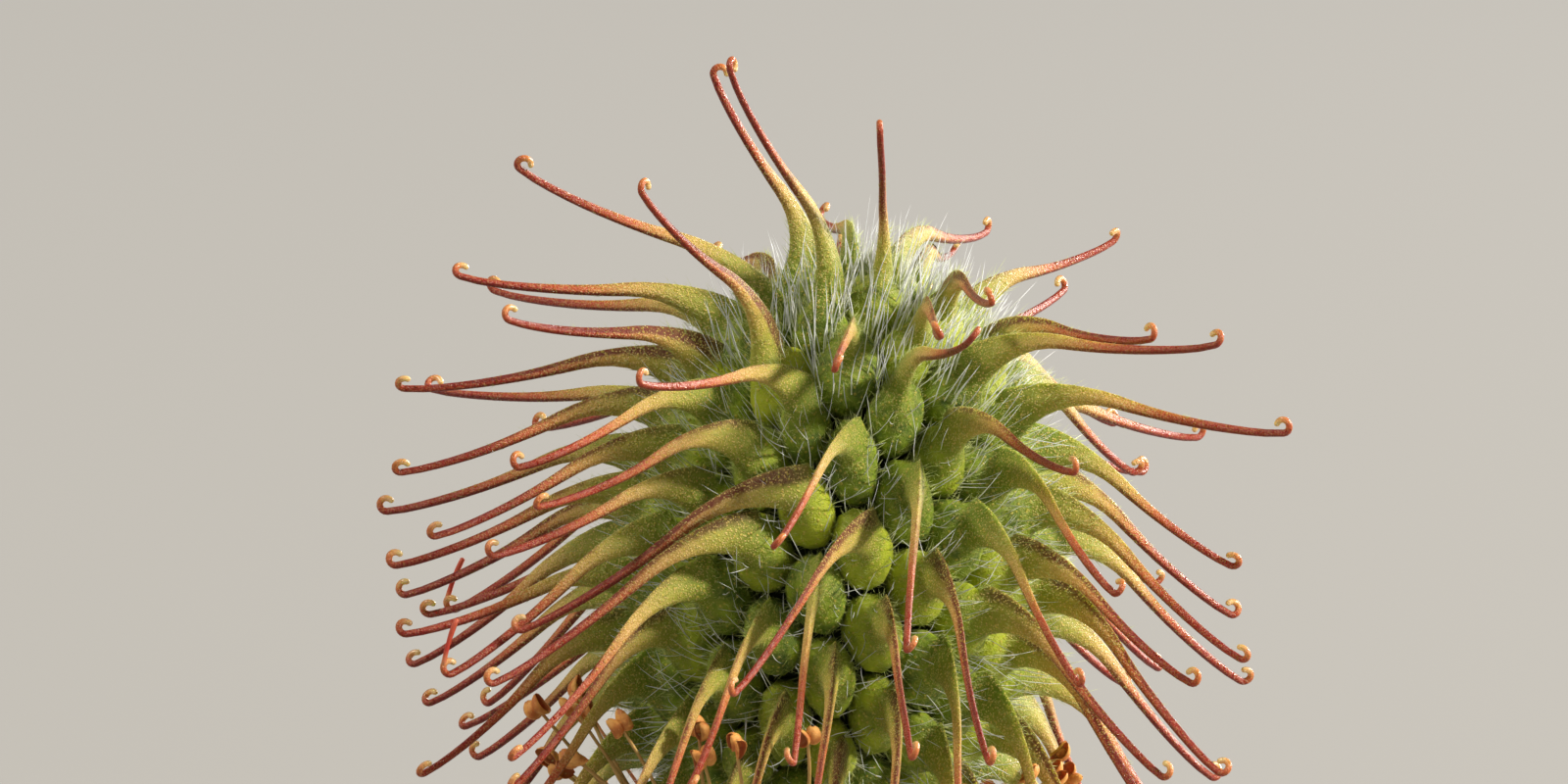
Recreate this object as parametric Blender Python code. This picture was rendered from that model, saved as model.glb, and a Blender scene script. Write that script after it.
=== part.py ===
# Hooked seed burr: a head of hairy achenes, each drawn out into a long style with a hook
# at its end, on the calyx, the dry stamens and the cut stem of the flower before it.
# Metres, +Z up along the head's axis, standing on the floor on its lowest hooks.
import math
import random

import bmesh
import bpy
import numpy as np

MM = 0.001

# Head of achenes
ACHENE_COUNT = 130
HEAD_RADIUS = 3.85 * MM  # out to the achenes' shoulders
HEAD_HALF_HEIGHT = 6.0 * MM
HEAD_CENTRE = np.array([0.0, 0.0, 9.3 * MM])
LOWEST_LEVEL = -0.88  # share of the half height that the lowest achenes reach
GROOVE_DEPTH = 0.85 * MM
SHOULDER_RINGS = (  # (share of the cell's width, rise above the shoulders, shift up the head)
    (0.89, -0.34 * MM, 0.0),
    (0.74, 0.08 * MM, 0.03 * MM),
)
STALK_RADIUS = 0.9 * MM
STALK_HEIGHTS = (4.26 * MM, 3.76 * MM)

# Styles
STYLE_LENGTH = 5.45 * MM
LENGTH_SPREAD = 0.08
SWING = math.radians(7)
ROOT_RISE = 0.38 * MM
ROOT_SHIFT = 0.29 * MM
LEAN_LEVELS = (0.0, 0.067, 0.13, 0.18, 0.24, 0.37, 0.45, 0.59, 0.75, 0.95)  # apex 0, foot 1
LEAN_ANGLES = (30, 42, 66, 78, 96, 111, 119, 127, 134, 139)  # degrees from the head's axis
SLOPE_SHARES = (0.0, 0.12, 0.4, 0.9, 1.0)
SLOPE_ANGLES = (40, 22, -9, 2, 10)  # degrees above the straight line from root to hook
SHAFT_SHARES = (0.0, 0.13, 0.36, 0.66, 1.0)
THICKNESS_SHARES = (0.0, 0.06, 0.14, 0.3, 0.6, 1.0)
THICKNESSES = (0.62 * MM, 0.52 * MM, 0.42 * MM, 0.28 * MM, 0.19 * MM, 0.145 * MM)
HOOK_RADIUS = 0.14 * MM  # of its middle line
HOOK_TURNS = (math.radians(200), math.radians(250))
HOOK_TWIST = math.radians(40)
HOOK_SHARES = (0.25, 0.5, 0.75, 1.0)
TIP_THICKNESS = 0.125 * MM
CLEARANCE = 0.12 * MM
ATTEMPTS = 60
FLOOR_HOOKS = 8
FLAT_DEPTH = 0.055 * MM  # how deep a hook that stands on the floor is flattened
FLOOR_GAP = 0.12 * MM  # of the other hooks

# Styles as the front view shows them, measured by hand in millimetres from the head's
# centre, right and up: where each leaves its achene, and where its hook is. In the view
# the head leans to the right, and is seen a little from above.
VIEW_LEAN = math.radians(8.5)
VIEW_DIP = math.radians(4)
VIEW_DISTANCE = 400 * MM
VIEW_MIDDLE = np.array([-1.0, 3.7]) * MM
SEEN_STYLES = (
    (0.2, 5.3, -2.1, 10.4), (-0.5, 5.9, -2.44, 10.3), (0.0, 4.5, -3.9, 7.9),
    (-1.1, 5.1, -6.4, 8.4), (3.0, 4.9, 5.7, 6.9), (3.2, 4.0, 7.8, 4.8),
    (3.0, 3.1, 9.2, 3.0), (4.0, 2.1, 8.1, 0.3), (4.0, 1.1, 8.3, -1.6),
    (4.0, 0.5, 7.3, -2.1), (3.6, -0.3, 6.7, -4.0), (-1.8, 4.5, -6.6, 5.3),
    (-3.0, 4.0, -9.0, 3.9), (-3.2, 3.7, -8.8, 2.2), (-1.2, 3.3, -6.4, 2.3),
    (-2.6, 2.3, -8.1, 0.9), (-2.2, 1.7, -6.9, 0.5), (-3.2, -0.3, -8.2, -2.5),
    (1.3, 2.9, 0.0, 3.1), (1.2, 1.9, -1.2, 0.7), (1.6, 1.1, 1.5, -1.4),
    (0.2, 0.5, -2.0, -2.3), (0.6, -0.3, -0.8, -3.7), (-0.6, 3.8, -3.9, 4.0),
    (-0.8, 2.6, -6.0, 1.5), (-0.4, 1.5, -6.5, -1.1), (-1.0, 0.5, -6.9, -2.1),
    (2.9, 2.6, 4.9, 2.2), (3.0, 3.1, 6.1, 2.2), (3.2, 0.5, 5.0, -2.1),
    (2.2, 4.8, 2.8, 4.9), (4.2, 1.7, 8.1, -0.7),
)
# Hooks whose style starts out of sight, most of them on the far side
SEEN_HOOKS = (
    (0.96, 9.1),
    (-7.6, 6.2), (-6.9, 5.9), (4.7, 5.9), (5.7, 3.2), (6.3, 2.2), (5.9, -2.1),
    (-8.2, 3.9), (-6.0, 3.1), (-9.1, 1.4), (-8.9, 0.3), (-8.7, -0.3), (-7.7, -0.6),
    (-8.7, -1.1), (-8.2, -0.7), (-8.5, -1.7), (-4.0, -2.1), (-7.0, -2.5), (-7.8, -1.9),
    (-7.5, -3.0), (-7.2, -3.6), (-6.5, -3.6), (-6.5, -4.2), (1.6, -3.6), (-2.5, -3.9),
)
MATCH_LIMIT = 3.2 * MM
HOOK_WEIGHT = 0.6  # what a hook's place counts for against its root's
FURTHEST_SEEN = 1.155 * MM  # of the roots in sight, behind the head's axis
LENGTH_LIMITS = (0.86, 1.14)
CROWN_LEVEL = 0.22  # above it, styles that aren't seen lie toward the viewer or away
CROWN_LEAN = math.radians(97)
CROWN_TURN = 0.8
TURN_ASIDE = math.radians(24)
SHIFTS = np.array([0.05, 0.5, 0.05]) * MM  # of a seen style's hook, mostly out of the view
TRIES_PER_SHIFT = 15

# Stamens
STAMEN_COUNT = 46
DISC_RADII = (0.7 * MM, 1.28 * MM)
DISC_HEIGHTS = (3.38 * MM, 3.62 * MM)
FILAMENT_LENGTHS = (3.4 * MM, 5.0 * MM)
FILAMENT_THICKNESS = 0.15 * MM
FILAMENT_STEPS = 12
FILAMENT_RINGS = (3, 7, 12)  # steps that are built
FIRST_POLARS = (math.radians(78), math.radians(100))  # from the head's axis, at the disc
LAST_POLARS = (math.radians(42), math.radians(82))
RAISE = math.radians(35)  # steeper than that, on the first try
FILAMENT_DRIFT = math.radians(30)
FILAMENT_TRIES = 60
FILAMENT_GAP = 0.04 * MM
STYLE_GAP = 0.08 * MM
HEAD_GAP = 0.34 * MM
ANTHER_LENGTH = 0.55 * MM
ANTHER_WIDTH = 0.50 * MM
ANTHER_THICKNESS = 0.22 * MM
ANTHER_RINGS = ((0.15, 0.75), (0.6, 1.0), (1.0, 0.7))  # (share of its length, of its size)
ANTHER_SECTION = ((1, 1), (0, 0.35), (-1, 1), (-1, -1), (0, -0.35), (1, -1))  # two lobes

# Calyx: five sepals bent back below the head, and five small bractlets between them
SEPAL_COUNT = 5
CALYX_RADIUS = 1.45 * MM
CALYX_HEIGHTS = (2.68 * MM, 3.25 * MM)
COLLAR_SIDES = 20
BLADE_THICKNESS = 0.6 * MM
SEPAL_LINE = ((0.9, 2.95), (2.1, 2.85), (2.95, 2.3), (3.4, 1.5), (3.55, 0.7))  # mm, out and up
SEPAL_WIDTHS = (1.7 * MM, 2.0 * MM, 1.7 * MM, 1.05 * MM, 0.2 * MM)
BRACTLET_LINE = ((0.9, 2.94), (1.65, 2.7), (2.3, 2.0), (2.5, 1.25))
BRACTLET_WIDTHS = (0.6 * MM, 0.7 * MM, 0.5 * MM, 0.15 * MM)
BLADE_SECTION = (  # (across, rise of the edges over the keel, level in the thickness)
    (-1, 1, 0.5), (0, 0, 0.5), (1, 1, 0.5), (1, 1, -0.5), (0, 0, -0.5), (-1, 1, -0.5),
)
KEEL = 0.12 * MM

# Stem
STEM_PROFILE = (  # (radius, height)
    (0.52 * MM, 0.40 * MM),
    (0.50 * MM, 1.40 * MM),
    (0.56 * MM, 1.95 * MM),
    (0.88 * MM, 2.40 * MM),
    (0.92 * MM, 2.50 * MM),
)
STEM_SIDES = 16
RIB_DEPTH = 0.04 * MM

UP = np.array([0.0, 0.0, 1.0])
OBLIQUE = np.array([0.6, 0.8, 0.1])  # along none of the achenes' directions
GOLDEN_ANGLE = math.pi * (3 - math.sqrt(5))


def unit(vector):
    return vector / np.linalg.norm(vector)


def toward(polar, azimuth):
    """Direction at an angle from the head's axis and an angle round it."""
    return np.array([
        math.sin(polar) * math.cos(azimuth),
        math.sin(polar) * math.sin(azimuth),
        math.cos(polar),
    ])


def achene_directions():
    """A golden-angle spiral from apex to foot, as directions, with the same area for each."""
    levels = np.linspace(1, LOWEST_LEVEL, 2001)
    widths = np.sqrt(HEAD_RADIUS**2 * levels**2 + HEAD_HALF_HEIGHT**2 * (1 - levels**2))
    area = np.concatenate([[0], np.cumsum(widths[1:] + widths[:-1])])
    shares = (np.arange(ACHENE_COUNT) + 0.5) / ACHENE_COUNT
    heights = np.interp(shares * area[-1], area, levels)
    angles = np.arange(ACHENE_COUNT) * GOLDEN_ANGLE
    across = np.sqrt(1 - heights**2)
    return np.stack([across * np.cos(angles), across * np.sin(angles), heights], axis=1)


def head_point(direction):
    return HEAD_CENTRE + direction * (HEAD_RADIUS, HEAD_RADIUS, HEAD_HALF_HEIGHT)


def head_normal(direction):
    return unit(direction / (HEAD_RADIUS, HEAD_RADIUS, HEAD_HALF_HEIGHT))


def style_profile():
    """Side view of a style whose straight line from root to hook is 1 long."""
    shares = np.linspace(0, 1, 41)
    slopes = np.radians(np.interp(shares, SLOPE_SHARES, SLOPE_ANGLES))
    middles = (slopes[1:] + slopes[:-1]) / 2
    line = np.concatenate([[0], np.cumsum(np.exp(1j * middles))])
    return shares, line / line[-1], slopes - np.angle(line[-1])


def view_axes():
    """The front view's directions to the right, up and away, as rows."""
    high = np.array([0.0, math.sin(VIEW_DIP), math.cos(VIEW_DIP)])
    away = np.array([0.0, math.cos(VIEW_DIP), -math.sin(VIEW_DIP)])
    side = np.array([1.0, 0.0, 0.0])
    lean, level = math.sin(VIEW_LEAN), math.cos(VIEW_LEAN)
    return np.array([level * side + lean * high, level * high - lean * side, away])


PROFILE_SHARES, PROFILE_LINE, PROFILE_SLOPES = style_profile()
VIEW_AXES = view_axes()


class Achene:
    """One achene's place on the head, and the line and hook of its style."""

    def __init__(self, direction, draw):
        self.place = head_point(direction)
        self.outward = head_normal(direction)
        self.upward = unit(UP - UP.dot(self.outward) * self.outward)
        self.root = self.place + self.outward * ROOT_RISE + self.upward * ROOT_SHIFT
        self.level = (1 - direction[2]) / 2
        self.azimuth = math.atan2(direction[1], direction[0])
        self.lift = 0.0
        self.seen = False
        self.draw_style(draw)

    def draw_style(self, draw):
        lean = math.radians(np.interp(self.level, LEAN_LEVELS, LEAN_ANGLES))
        polar = max(lean + draw.uniform(-SWING, SWING), math.radians(5))
        azimuth = self.azimuth + draw.uniform(-SWING, SWING) / max(math.sin(polar), 0.3)
        length = STYLE_LENGTH * (1 + draw.uniform(-LENGTH_SPREAD, LENGTH_SPREAD))
        self.end = self.root + length * toward(polar, azimuth)
        self.turn = draw.uniform(*HOOK_TURNS)
        self.twist = draw.uniform(-HOOK_TWIST, HOOK_TWIST)

    def stations(self, shaft_shares, hook_shares):
        """Rows of point, tangent, inward normal and thickness along the style."""
        chord = self.end - self.root
        length = np.linalg.norm(chord)
        along = chord / length
        above = unit(UP - UP.dot(along) * along)
        beside = np.cross(along, above)
        rows = []
        for share in shaft_shares:
            x = np.interp(share, PROFILE_SHARES, PROFILE_LINE.real)
            y = np.interp(share, PROFILE_SHARES, PROFILE_LINE.imag)
            slope = np.interp(share, PROFILE_SHARES, PROFILE_SLOPES)
            tangent = math.cos(slope) * along + math.sin(slope) * above
            normal = math.cos(slope) * above - math.sin(slope) * along
            twist = self.twist * max(0.0, share - 0.5) / 0.5
            inward = math.cos(twist) * normal + math.sin(twist) * beside
            point = self.root + length * (x * along + y * above) + UP * self.lift * share**2
            thickness = np.interp(share, THICKNESS_SHARES, THICKNESSES)
            rows.append((point, tangent, inward, thickness))
        start, tangent, inward, thickness = rows[-1]
        for share in hook_shares:
            angle = self.turn * share
            middle = start + HOOK_RADIUS * (
                math.sin(angle) * tangent + (1 - math.cos(angle)) * inward
            )
            rows.append((
                middle,
                math.cos(angle) * tangent + math.sin(angle) * inward,
                math.cos(angle) * inward - math.sin(angle) * tangent,
                thickness + (TIP_THICKNESS - thickness) * share,
            ))
        return rows

    def line(self):
        """Points along the style, with its half thickness at each, to keep others clear of."""
        rows = self.stations(np.linspace(0.04, 1, 34), np.linspace(0.25, 1, 5))
        return np.array([[*row[0], row[3] / 2] for row in rows])


def gap(line, others):
    """Least distance between the surface of one line and those of the others."""
    if not others:
        return math.inf
    rest = np.concatenate(others)
    apart = np.linalg.norm(line[:, None, :3] - rest[None, :, :3], axis=2)
    return float((apart - line[:, None, 3] - rest[None, :, 3]).min())


def above_head(line, start):
    """Least height of a line above the shoulders, from one of its points on."""
    offset = (line[start:, :3] - HEAD_CENTRE) / (HEAD_RADIUS, HEAD_RADIUS, HEAD_HALF_HEIGHT)
    return float((np.linalg.norm(offset, axis=1).min() - 1) * HEAD_RADIUS)


def seen_at(point):
    """Where the front view shows a point, right and up of the head's centre."""
    right, high, away = VIEW_AXES @ (point - HEAD_CENTRE)
    nearness = VIEW_DISTANCE / (VIEW_DISTANCE + away)
    return VIEW_MIDDLE + (np.array([right, high]) - VIEW_MIDDLE) * nearness


def steer(achene, hook):
    """Turn a style so that the front view shows its hook at a place."""
    length = np.linalg.norm(achene.end - achene.root)
    root = VIEW_AXES @ (achene.root - HEAD_CENTRE)
    depth = (VIEW_AXES @ (achene.end - achene.root))[2]
    longest = length * LENGTH_LIMITS[1]
    for _ in range(3):
        farness = 1 + (root[2] + depth) / VIEW_DISTANCE
        across = VIEW_MIDDLE + (hook - VIEW_MIDDLE) * farness - (0, HOOK_RADIUS) - root[:2]
        flat = min(np.linalg.norm(across), longest)
        across *= flat / np.linalg.norm(across)
        reach = min(max(math.hypot(flat, depth), length * LENGTH_LIMITS[0]), longest)
        depth = math.copysign(math.sqrt(max(reach**2 - flat**2, 0.0)), depth)
    achene.end = achene.root + np.array([*across, depth]) @ VIEW_AXES
    achene.seen = True


def match_to_view(achenes):
    """Give each style seen in the front view to the achene whose own style is nearest."""
    pairs = []
    for number, places in enumerate(SEEN_STYLES):
        root, hook = np.array(places[:2]) * MM, np.array(places[2:]) * MM
        for index, achene in enumerate(achenes):
            if achene.root[1] < FURTHEST_SEEN:
                off = np.linalg.norm(seen_at(achene.root) - root)
                off += HOOK_WEIGHT * np.linalg.norm(seen_at(achene.end) - hook)
                pairs.append((off, number, index, hook))
    give(achenes, pairs)
    pairs = []
    for number, place in enumerate(SEEN_HOOKS):
        hook = np.array(place) * MM
        for index, achene in enumerate(achenes):
            if not achene.seen:
                off = np.linalg.norm(seen_at(achene.end) - hook)
                pairs.append((off, number, index, hook))
    give(achenes, pairs)
    for achene in achenes:
        if not achene.seen:
            turn_aside(achene)


def turn_aside(achene, share=1.0):
    """Turn a style that isn't seen toward the viewer or away, off the outline."""
    chord = achene.end - achene.root
    length = np.linalg.norm(chord)
    polar = math.acos(chord[2] / length)
    azimuth = math.atan2(chord[1], chord[0])
    side = math.copysign(math.pi / 2, azimuth)
    if achene.level < CROWN_LEVEL:
        polar += CROWN_TURN * share * (CROWN_LEAN - polar)
        azimuth += CROWN_TURN * share * (side - azimuth)
    else:
        turn = TURN_ASIDE * share * abs(math.cos(azimuth))
        azimuth += math.copysign(turn, side - azimuth)
    achene.end = achene.root + length * toward(polar, azimuth)


def give(achenes, pairs):
    given = set()
    for off, number, index, hook in sorted(pairs, key=lambda pair: pair[:3]):
        if off < MATCH_LIMIT and number not in given and not achenes[index].seen:
            steer(achenes[index], hook)
            given.add(number)


def clear_styles(achenes, draw):
    """Redraw or bend the styles that come too near another one, the head or the floor."""
    lines = []
    for achene in sorted(achenes, key=lambda one: not one.seen):
        first_end, best = achene.end.copy(), None
        for attempt in range(ATTEMPTS):
            line = achene.line()
            room = min(gap(line, lines), above_head(line, 8) - CLEARANCE)
            if best is None or room > best[0]:
                best = (room, achene.end.copy(), achene.turn, achene.twist)
            if room > CLEARANCE:
                break
            if achene.seen:
                shift = SHIFTS * attempt / TRIES_PER_SHIFT
                achene.end = first_end + shift * [draw.uniform(-1, 1) for _ in range(3)]
                achene.twist = draw.uniform(-HOOK_TWIST, HOOK_TWIST)
            else:
                achene.draw_style(draw)
                turn_aside(achene, 1 - attempt / ATTEMPTS)
        _, achene.end, achene.turn, achene.twist = best
        lines.append(achene.line())


def settle_on_floor(achenes):
    """Bend the lowest style of each eighth of the head to the floor, and the rest clear of it."""
    def lowest(achene):
        rows = achene.stations(SHAFT_SHARES, HOOK_SHARES)
        return min(corner[2] for row in rows for corner in ring_corners(row))

    low = {}
    for achene in achenes:
        sector = int((math.atan2(achene.end[1], achene.end[0]) / (2 * math.pi) % 1) * FLOOR_HOOKS)
        if sector not in low or lowest(achene) < lowest(low[sector]):
            low[sector] = achene
    for achene in achenes:
        height = lowest(achene)
        if any(achene is one for one in low.values()):
            achene.lift = -height - FLAT_DEPTH
        elif height < FLOOR_GAP:
            achene.lift = FLOOR_GAP - height


def lay_out_achenes():
    draw = random.Random(11)
    achenes = [Achene(direction, draw) for direction in achene_directions()]
    match_to_view(achenes)
    clear_styles(achenes, draw)
    settle_on_floor(achenes)
    return achenes


def ring_corners(row, sides=3):
    """Corners round a style, the first on the inner side of its bend."""
    point, tangent, inward, thickness = row
    beside = np.cross(tangent, inward)
    angles = [2 * math.pi * side / sides for side in range(sides)]
    return [
        point + thickness / 2 * (math.cos(a) * inward + math.sin(a) * beside) for a in angles
    ]


def add_ring(mesh, corners):
    return [mesh.verts.new(corner) for corner in corners]


def band(mesh, lower, upper):
    """Faces between two rings of the same number of corners."""
    for j in range(len(lower)):
        k = (j + 1) % len(lower)
        mesh.faces.new((lower[j], lower[k], upper[k], upper[j]))


def gather(mesh, wide, narrow, centre, axis, start):
    """Triangles from a wide ring on to a narrow one with another number of corners.

    Both run counter-clockwise seen against the axis. Where the narrow ring comes first,
    the rings and the axis are given reversed.
    """
    side = np.cross(axis, start)

    def sorted_ring(ring):
        angles = []
        for vertex in ring:
            offset = np.array(vertex.co) - centre
            angles.append(math.atan2(offset.dot(side), offset.dot(start)) % (2 * math.pi))
        first = angles.index(min(angles))
        turned = ring[first:] + ring[:first]
        angles = angles[first:] + angles[:first]
        return turned + turned[:1], angles + [angles[0] + 2 * math.pi]

    outer, outer_angles = sorted_ring(wide)
    inner, inner_angles = sorted_ring(narrow)
    i = j = 0
    while i < len(wide) or j < len(narrow):
        if j == len(narrow) or (i < len(wide) and outer_angles[i + 1] <= inner_angles[j + 1]):
            mesh.faces.new((outer[i], outer[i + 1], inner[j]))
            i += 1
        else:
            mesh.faces.new((outer[i], inner[j + 1], inner[j]))
            j += 1


def cells(directions):
    """Corners between neighbouring points of a sphere, and which of them ring each point."""
    hull = bmesh.new()
    for direction in directions:
        hull.verts.new(direction)
    bmesh.ops.convex_hull(hull, input=hull.verts[:])
    hull.verts.index_update()
    hull.faces.index_update()
    corners = []
    for face in hull.faces:
        corners.append(unit(np.sum([vertex.co for vertex in face.verts], axis=0)))
    rings = []
    for vertex in hull.verts:
        middle = np.array(vertex.co)
        first = unit(np.cross(middle, OBLIQUE))
        second = np.cross(middle, first)
        angles = {}
        for face in vertex.link_faces:
            corner = corners[face.index]
            angles[face.index] = math.atan2(corner.dot(second), corner.dot(first))
        rings.append(sorted(angles, key=angles.get))
    hull.free()
    return corners, rings


def finish_mesh(name, mesh, colour, roughness):
    """Turn a bmesh into a named object with its own material."""
    bmesh.ops.triangulate(mesh, faces=mesh.faces[:], quad_method="SHORT_EDGE")
    bmesh.ops.recalc_face_normals(mesh, faces=mesh.faces[:])
    data = bpy.data.meshes.new(name)
    mesh.to_mesh(data)
    mesh.free()
    thing = bpy.data.objects.new(name, data)
    bpy.context.scene.collection.objects.link(thing)
    thing.data.materials.append(principled(name, colour, roughness))
    return thing


def principled(name, colour, roughness):
    material = bpy.data.materials.new(name)
    material.use_nodes = True
    shader = material.node_tree.nodes["Principled BSDF"]
    shader.inputs["Base Color"].default_value = (*colour, 1.0)
    shader.inputs["Roughness"].default_value = roughness
    shader.inputs["Metallic"].default_value = 0.0
    return material


def achene_head(achenes):
    """One body: cells of the head's surface raised into achenes and drawn out into styles."""
    mesh = bmesh.new()
    directions = [*achene_directions(), np.array([0.0, 0.0, -1.0])]
    corners, rings = cells(directions)
    grooves = [
        mesh.verts.new(head_point(corner) - GROOVE_DEPTH * head_normal(corner))
        for corner in corners
    ]
    for achene, ring in zip(achenes, rings):
        outer = [grooves[index] for index in ring]
        for share, rise, shift in SHOULDER_RINGS:
            inner = add_ring(mesh, [
                achene.place + share * (head_point(corners[index]) - achene.place)
                + rise * achene.outward + shift * achene.upward
                for index in ring
            ])
            band(mesh, outer, inner)
            outer = inner
        rows = achene.stations(SHAFT_SHARES, HOOK_SHARES)
        inner = add_ring(mesh, ring_corners(rows[0]))
        gather(mesh, outer, inner, achene.root, achene.outward, achene.upward)
        for row in rows[1:]:
            outer, inner = inner, add_ring(mesh, ring_corners(row))
            band(mesh, outer, inner)
        mesh.faces.new(inner)
    foot = [grooves[index] for index in rings[-1]]
    for height in STALK_HEIGHTS:
        ring = add_ring(mesh, [
            (*(STALK_RADIUS * unit(np.array(vertex.co[:2]))), height) for vertex in foot
        ])
        band(mesh, foot, ring)
        foot = ring
    mesh.faces.new(foot)
    for vertex in mesh.verts:
        vertex.co.z = max(vertex.co.z, 0.0)
    return finish_mesh("achene_head", mesh, (0.16, 0.24, 0.05), 0.6)


def filament_line(root, azimuth, draw, raised):
    """Middle line of a filament that leaves its disc level and bends up."""
    length = draw.uniform(*FILAMENT_LENGTHS)
    start, end = draw.uniform(*FIRST_POLARS), draw.uniform(*LAST_POLARS) - RAISE * raised
    drift = draw.uniform(-FILAMENT_DRIFT, FILAMENT_DRIFT)
    points = [root]
    for step in range(FILAMENT_STEPS):
        share = (step + 0.5) / FILAMENT_STEPS
        polar = start + (end - start) * min(1.0, 1.5 * share)
        way = toward(polar, azimuth + drift * share)
        points.append(points[-1] + length / FILAMENT_STEPS * way)
    return np.array(points)


def stamens(achenes):
    """A thin disc, with a filament and its two-lobed anther drawn out of each stretch of its rim."""
    draw = random.Random(5)
    style_lines = [achene.line() for achene in achenes]
    mesh = bmesh.new()
    inner_radius, outer_radius = DISC_RADII
    bottom, top = DISC_HEIGHTS
    angles = [2 * math.pi * k / STAMEN_COUNT for k in range(STAMEN_COUNT)]
    profile = (
        (inner_radius, bottom), (inner_radius, top), (outer_radius, top), (outer_radius, bottom),
    )
    rings = [
        add_ring(mesh, [(r * math.cos(a), r * math.sin(a), z) for a in angles])
        for r, z in profile
    ]
    for number in (0, 1, 3):
        band(mesh, rings[number], rings[(number + 1) % 4])
    taken = []
    for k in range(STAMEN_COUNT):
        after = (k + 1) % STAMEN_COUNT
        quad = [rings[3][k], rings[3][after], rings[2][after], rings[2][k]]
        azimuth = 2 * math.pi * (k + 0.5) / STAMEN_COUNT
        root = np.mean([vertex.co for vertex in quad], axis=0)
        line = clear_filament(root, azimuth, draw, style_lines, taken)
        if line is None:
            mesh.faces.new(quad)
        else:
            taken.append(line)
            add_stamen(mesh, quad, line[:, :3], draw)
    return finish_mesh("stamens", mesh, (0.45, 0.20, 0.06), 0.7)


def clear_filament(root, azimuth, draw, style_lines, taken):
    """A filament with room for its anther between the styles, or None where there is none."""
    for attempt in range(FILAMENT_TRIES):
        points = filament_line(root, azimuth, draw, 1 - attempt / FILAMENT_TRIES)
        tip = points[-1] + unit(points[-1] - points[-2]) * ANTHER_LENGTH
        size = np.full(len(points) + 1, FILAMENT_THICKNESS / 2)
        size[-3:] = ANTHER_WIDTH * 0.6
        line = np.column_stack([np.vstack([points, tip]), size])
        clear = gap(line[3:], style_lines) > STYLE_GAP and above_head(line, 2) > HEAD_GAP
        if clear and gap(line[3:], [other[3:] for other in taken]) > FILAMENT_GAP:
            return line
    return None


def add_stamen(mesh, quad, line, draw):
    """Draw a filament out of one face of the disc's rim and end it in an anther."""
    outer = quad
    for index in FILAMENT_RINGS:
        point = line[index]
        tangent = unit(line[index + 1] - line[index - 1])
        beside = unit(np.cross(tangent, UP))
        above = np.cross(beside, tangent)
        inner = add_ring(mesh, ring_corners((point, tangent, above, FILAMENT_THICKNESS)))
        if outer is quad:
            gather(mesh, outer, inner, point, tangent, above)
        else:
            band(mesh, outer, inner)
        outer = inner
    spin = draw.uniform(0, math.pi)
    flat = math.cos(spin) * beside + math.sin(spin) * above
    thin = np.cross(tangent, flat)
    for share, size in ANTHER_RINGS:
        middle = point + tangent * ANTHER_LENGTH * share
        half_width, half_thickness = size * ANTHER_WIDTH / 2, size * ANTHER_THICKNESS / 2
        inner = add_ring(mesh, [
            middle + half_width * across * flat + half_thickness * out * thin
            for across, out in ANTHER_SECTION
        ])
        if share == ANTHER_RINGS[0][0]:
            gather(mesh, inner[::-1], outer[::-1], middle, -tangent, flat)
        else:
            band(mesh, outer, inner)
        outer = inner
    mesh.faces.new(outer)


def blade(line, widths, azimuth):
    """A keeled leaf blade of even thickness along a line in the upright plane at an azimuth."""
    out = toward(math.pi / 2, azimuth)
    side = np.cross(UP, out)
    points = [(x * MM * out + z * MM * UP) for x, z in line]
    mesh = bmesh.new()
    outer = None
    for number, (point, width) in enumerate(zip(points, widths)):
        ahead = points[min(number + 1, len(points) - 1)] - points[max(number - 1, 0)]
        normal = np.cross(unit(ahead), side)
        inner = add_ring(mesh, [
            point + side * width / 2 * across + normal * (rise * KEEL - level * BLADE_THICKNESS)
            for across, rise, level in BLADE_SECTION
        ])
        if outer:
            band(mesh, outer, inner)
        else:
            mesh.faces.new(inner)
        outer = inner
    mesh.faces.new(outer)
    return finish_mesh("blade", mesh, (0.2, 0.25, 0.1), 0.6)


def turned(name, profile, sides, colour, roughness, rib=0.0):
    """A turned solid, ribbed along its length where rib is more than nothing."""
    mesh = bmesh.new()
    angles = [2 * math.pi * k / sides for k in range(sides)]
    outer = None
    for radius, height in profile:
        radii = [radius - rib * (k % 2) for k in range(sides)]
        inner = add_ring(mesh, [
            (r * math.cos(a), r * math.sin(a), height) for r, a in zip(radii, angles)
        ])
        if outer:
            band(mesh, outer, inner)
        else:
            mesh.faces.new(inner[::-1])
        outer = inner
    mesh.faces.new(outer)
    return finish_mesh(name, mesh, colour, roughness)


def calyx():
    """Sepals and bractlets joined to a thick collar by one union."""
    low, high = CALYX_HEIGHTS
    profile = (
        (CALYX_RADIUS * 0.85, low),
        (CALYX_RADIUS, (low + high) / 2),
        (CALYX_RADIUS * 0.95, high),
    )
    collar = turned("calyx", profile, COLLAR_SIDES, (0.13, 0.16, 0.05), 0.65)
    blades = bpy.data.collections.new("blades")
    bpy.context.scene.collection.children.link(blades)
    for number in range(SEPAL_COUNT):
        azimuth = 2 * math.pi * (number + 0.25) / SEPAL_COUNT
        half_step = math.pi / SEPAL_COUNT
        for piece in (
            blade(SEPAL_LINE, SEPAL_WIDTHS, azimuth),
            blade(BRACTLET_LINE, BRACTLET_WIDTHS, azimuth + half_step),
        ):
            bpy.context.scene.collection.objects.unlink(piece)
            blades.objects.link(piece)
    union = collar.modifiers.new("union", "BOOLEAN")
    union.operation = "UNION"
    union.operand_type = "COLLECTION"
    union.collection = blades
    union.solver = "MANIFOLD"
    bpy.context.view_layer.objects.active = collar
    bpy.ops.object.modifier_apply(modifier=union.name)
    for piece in list(blades.objects):
        bpy.data.objects.remove(piece)
    bpy.data.collections.remove(blades)
    return collar


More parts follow.
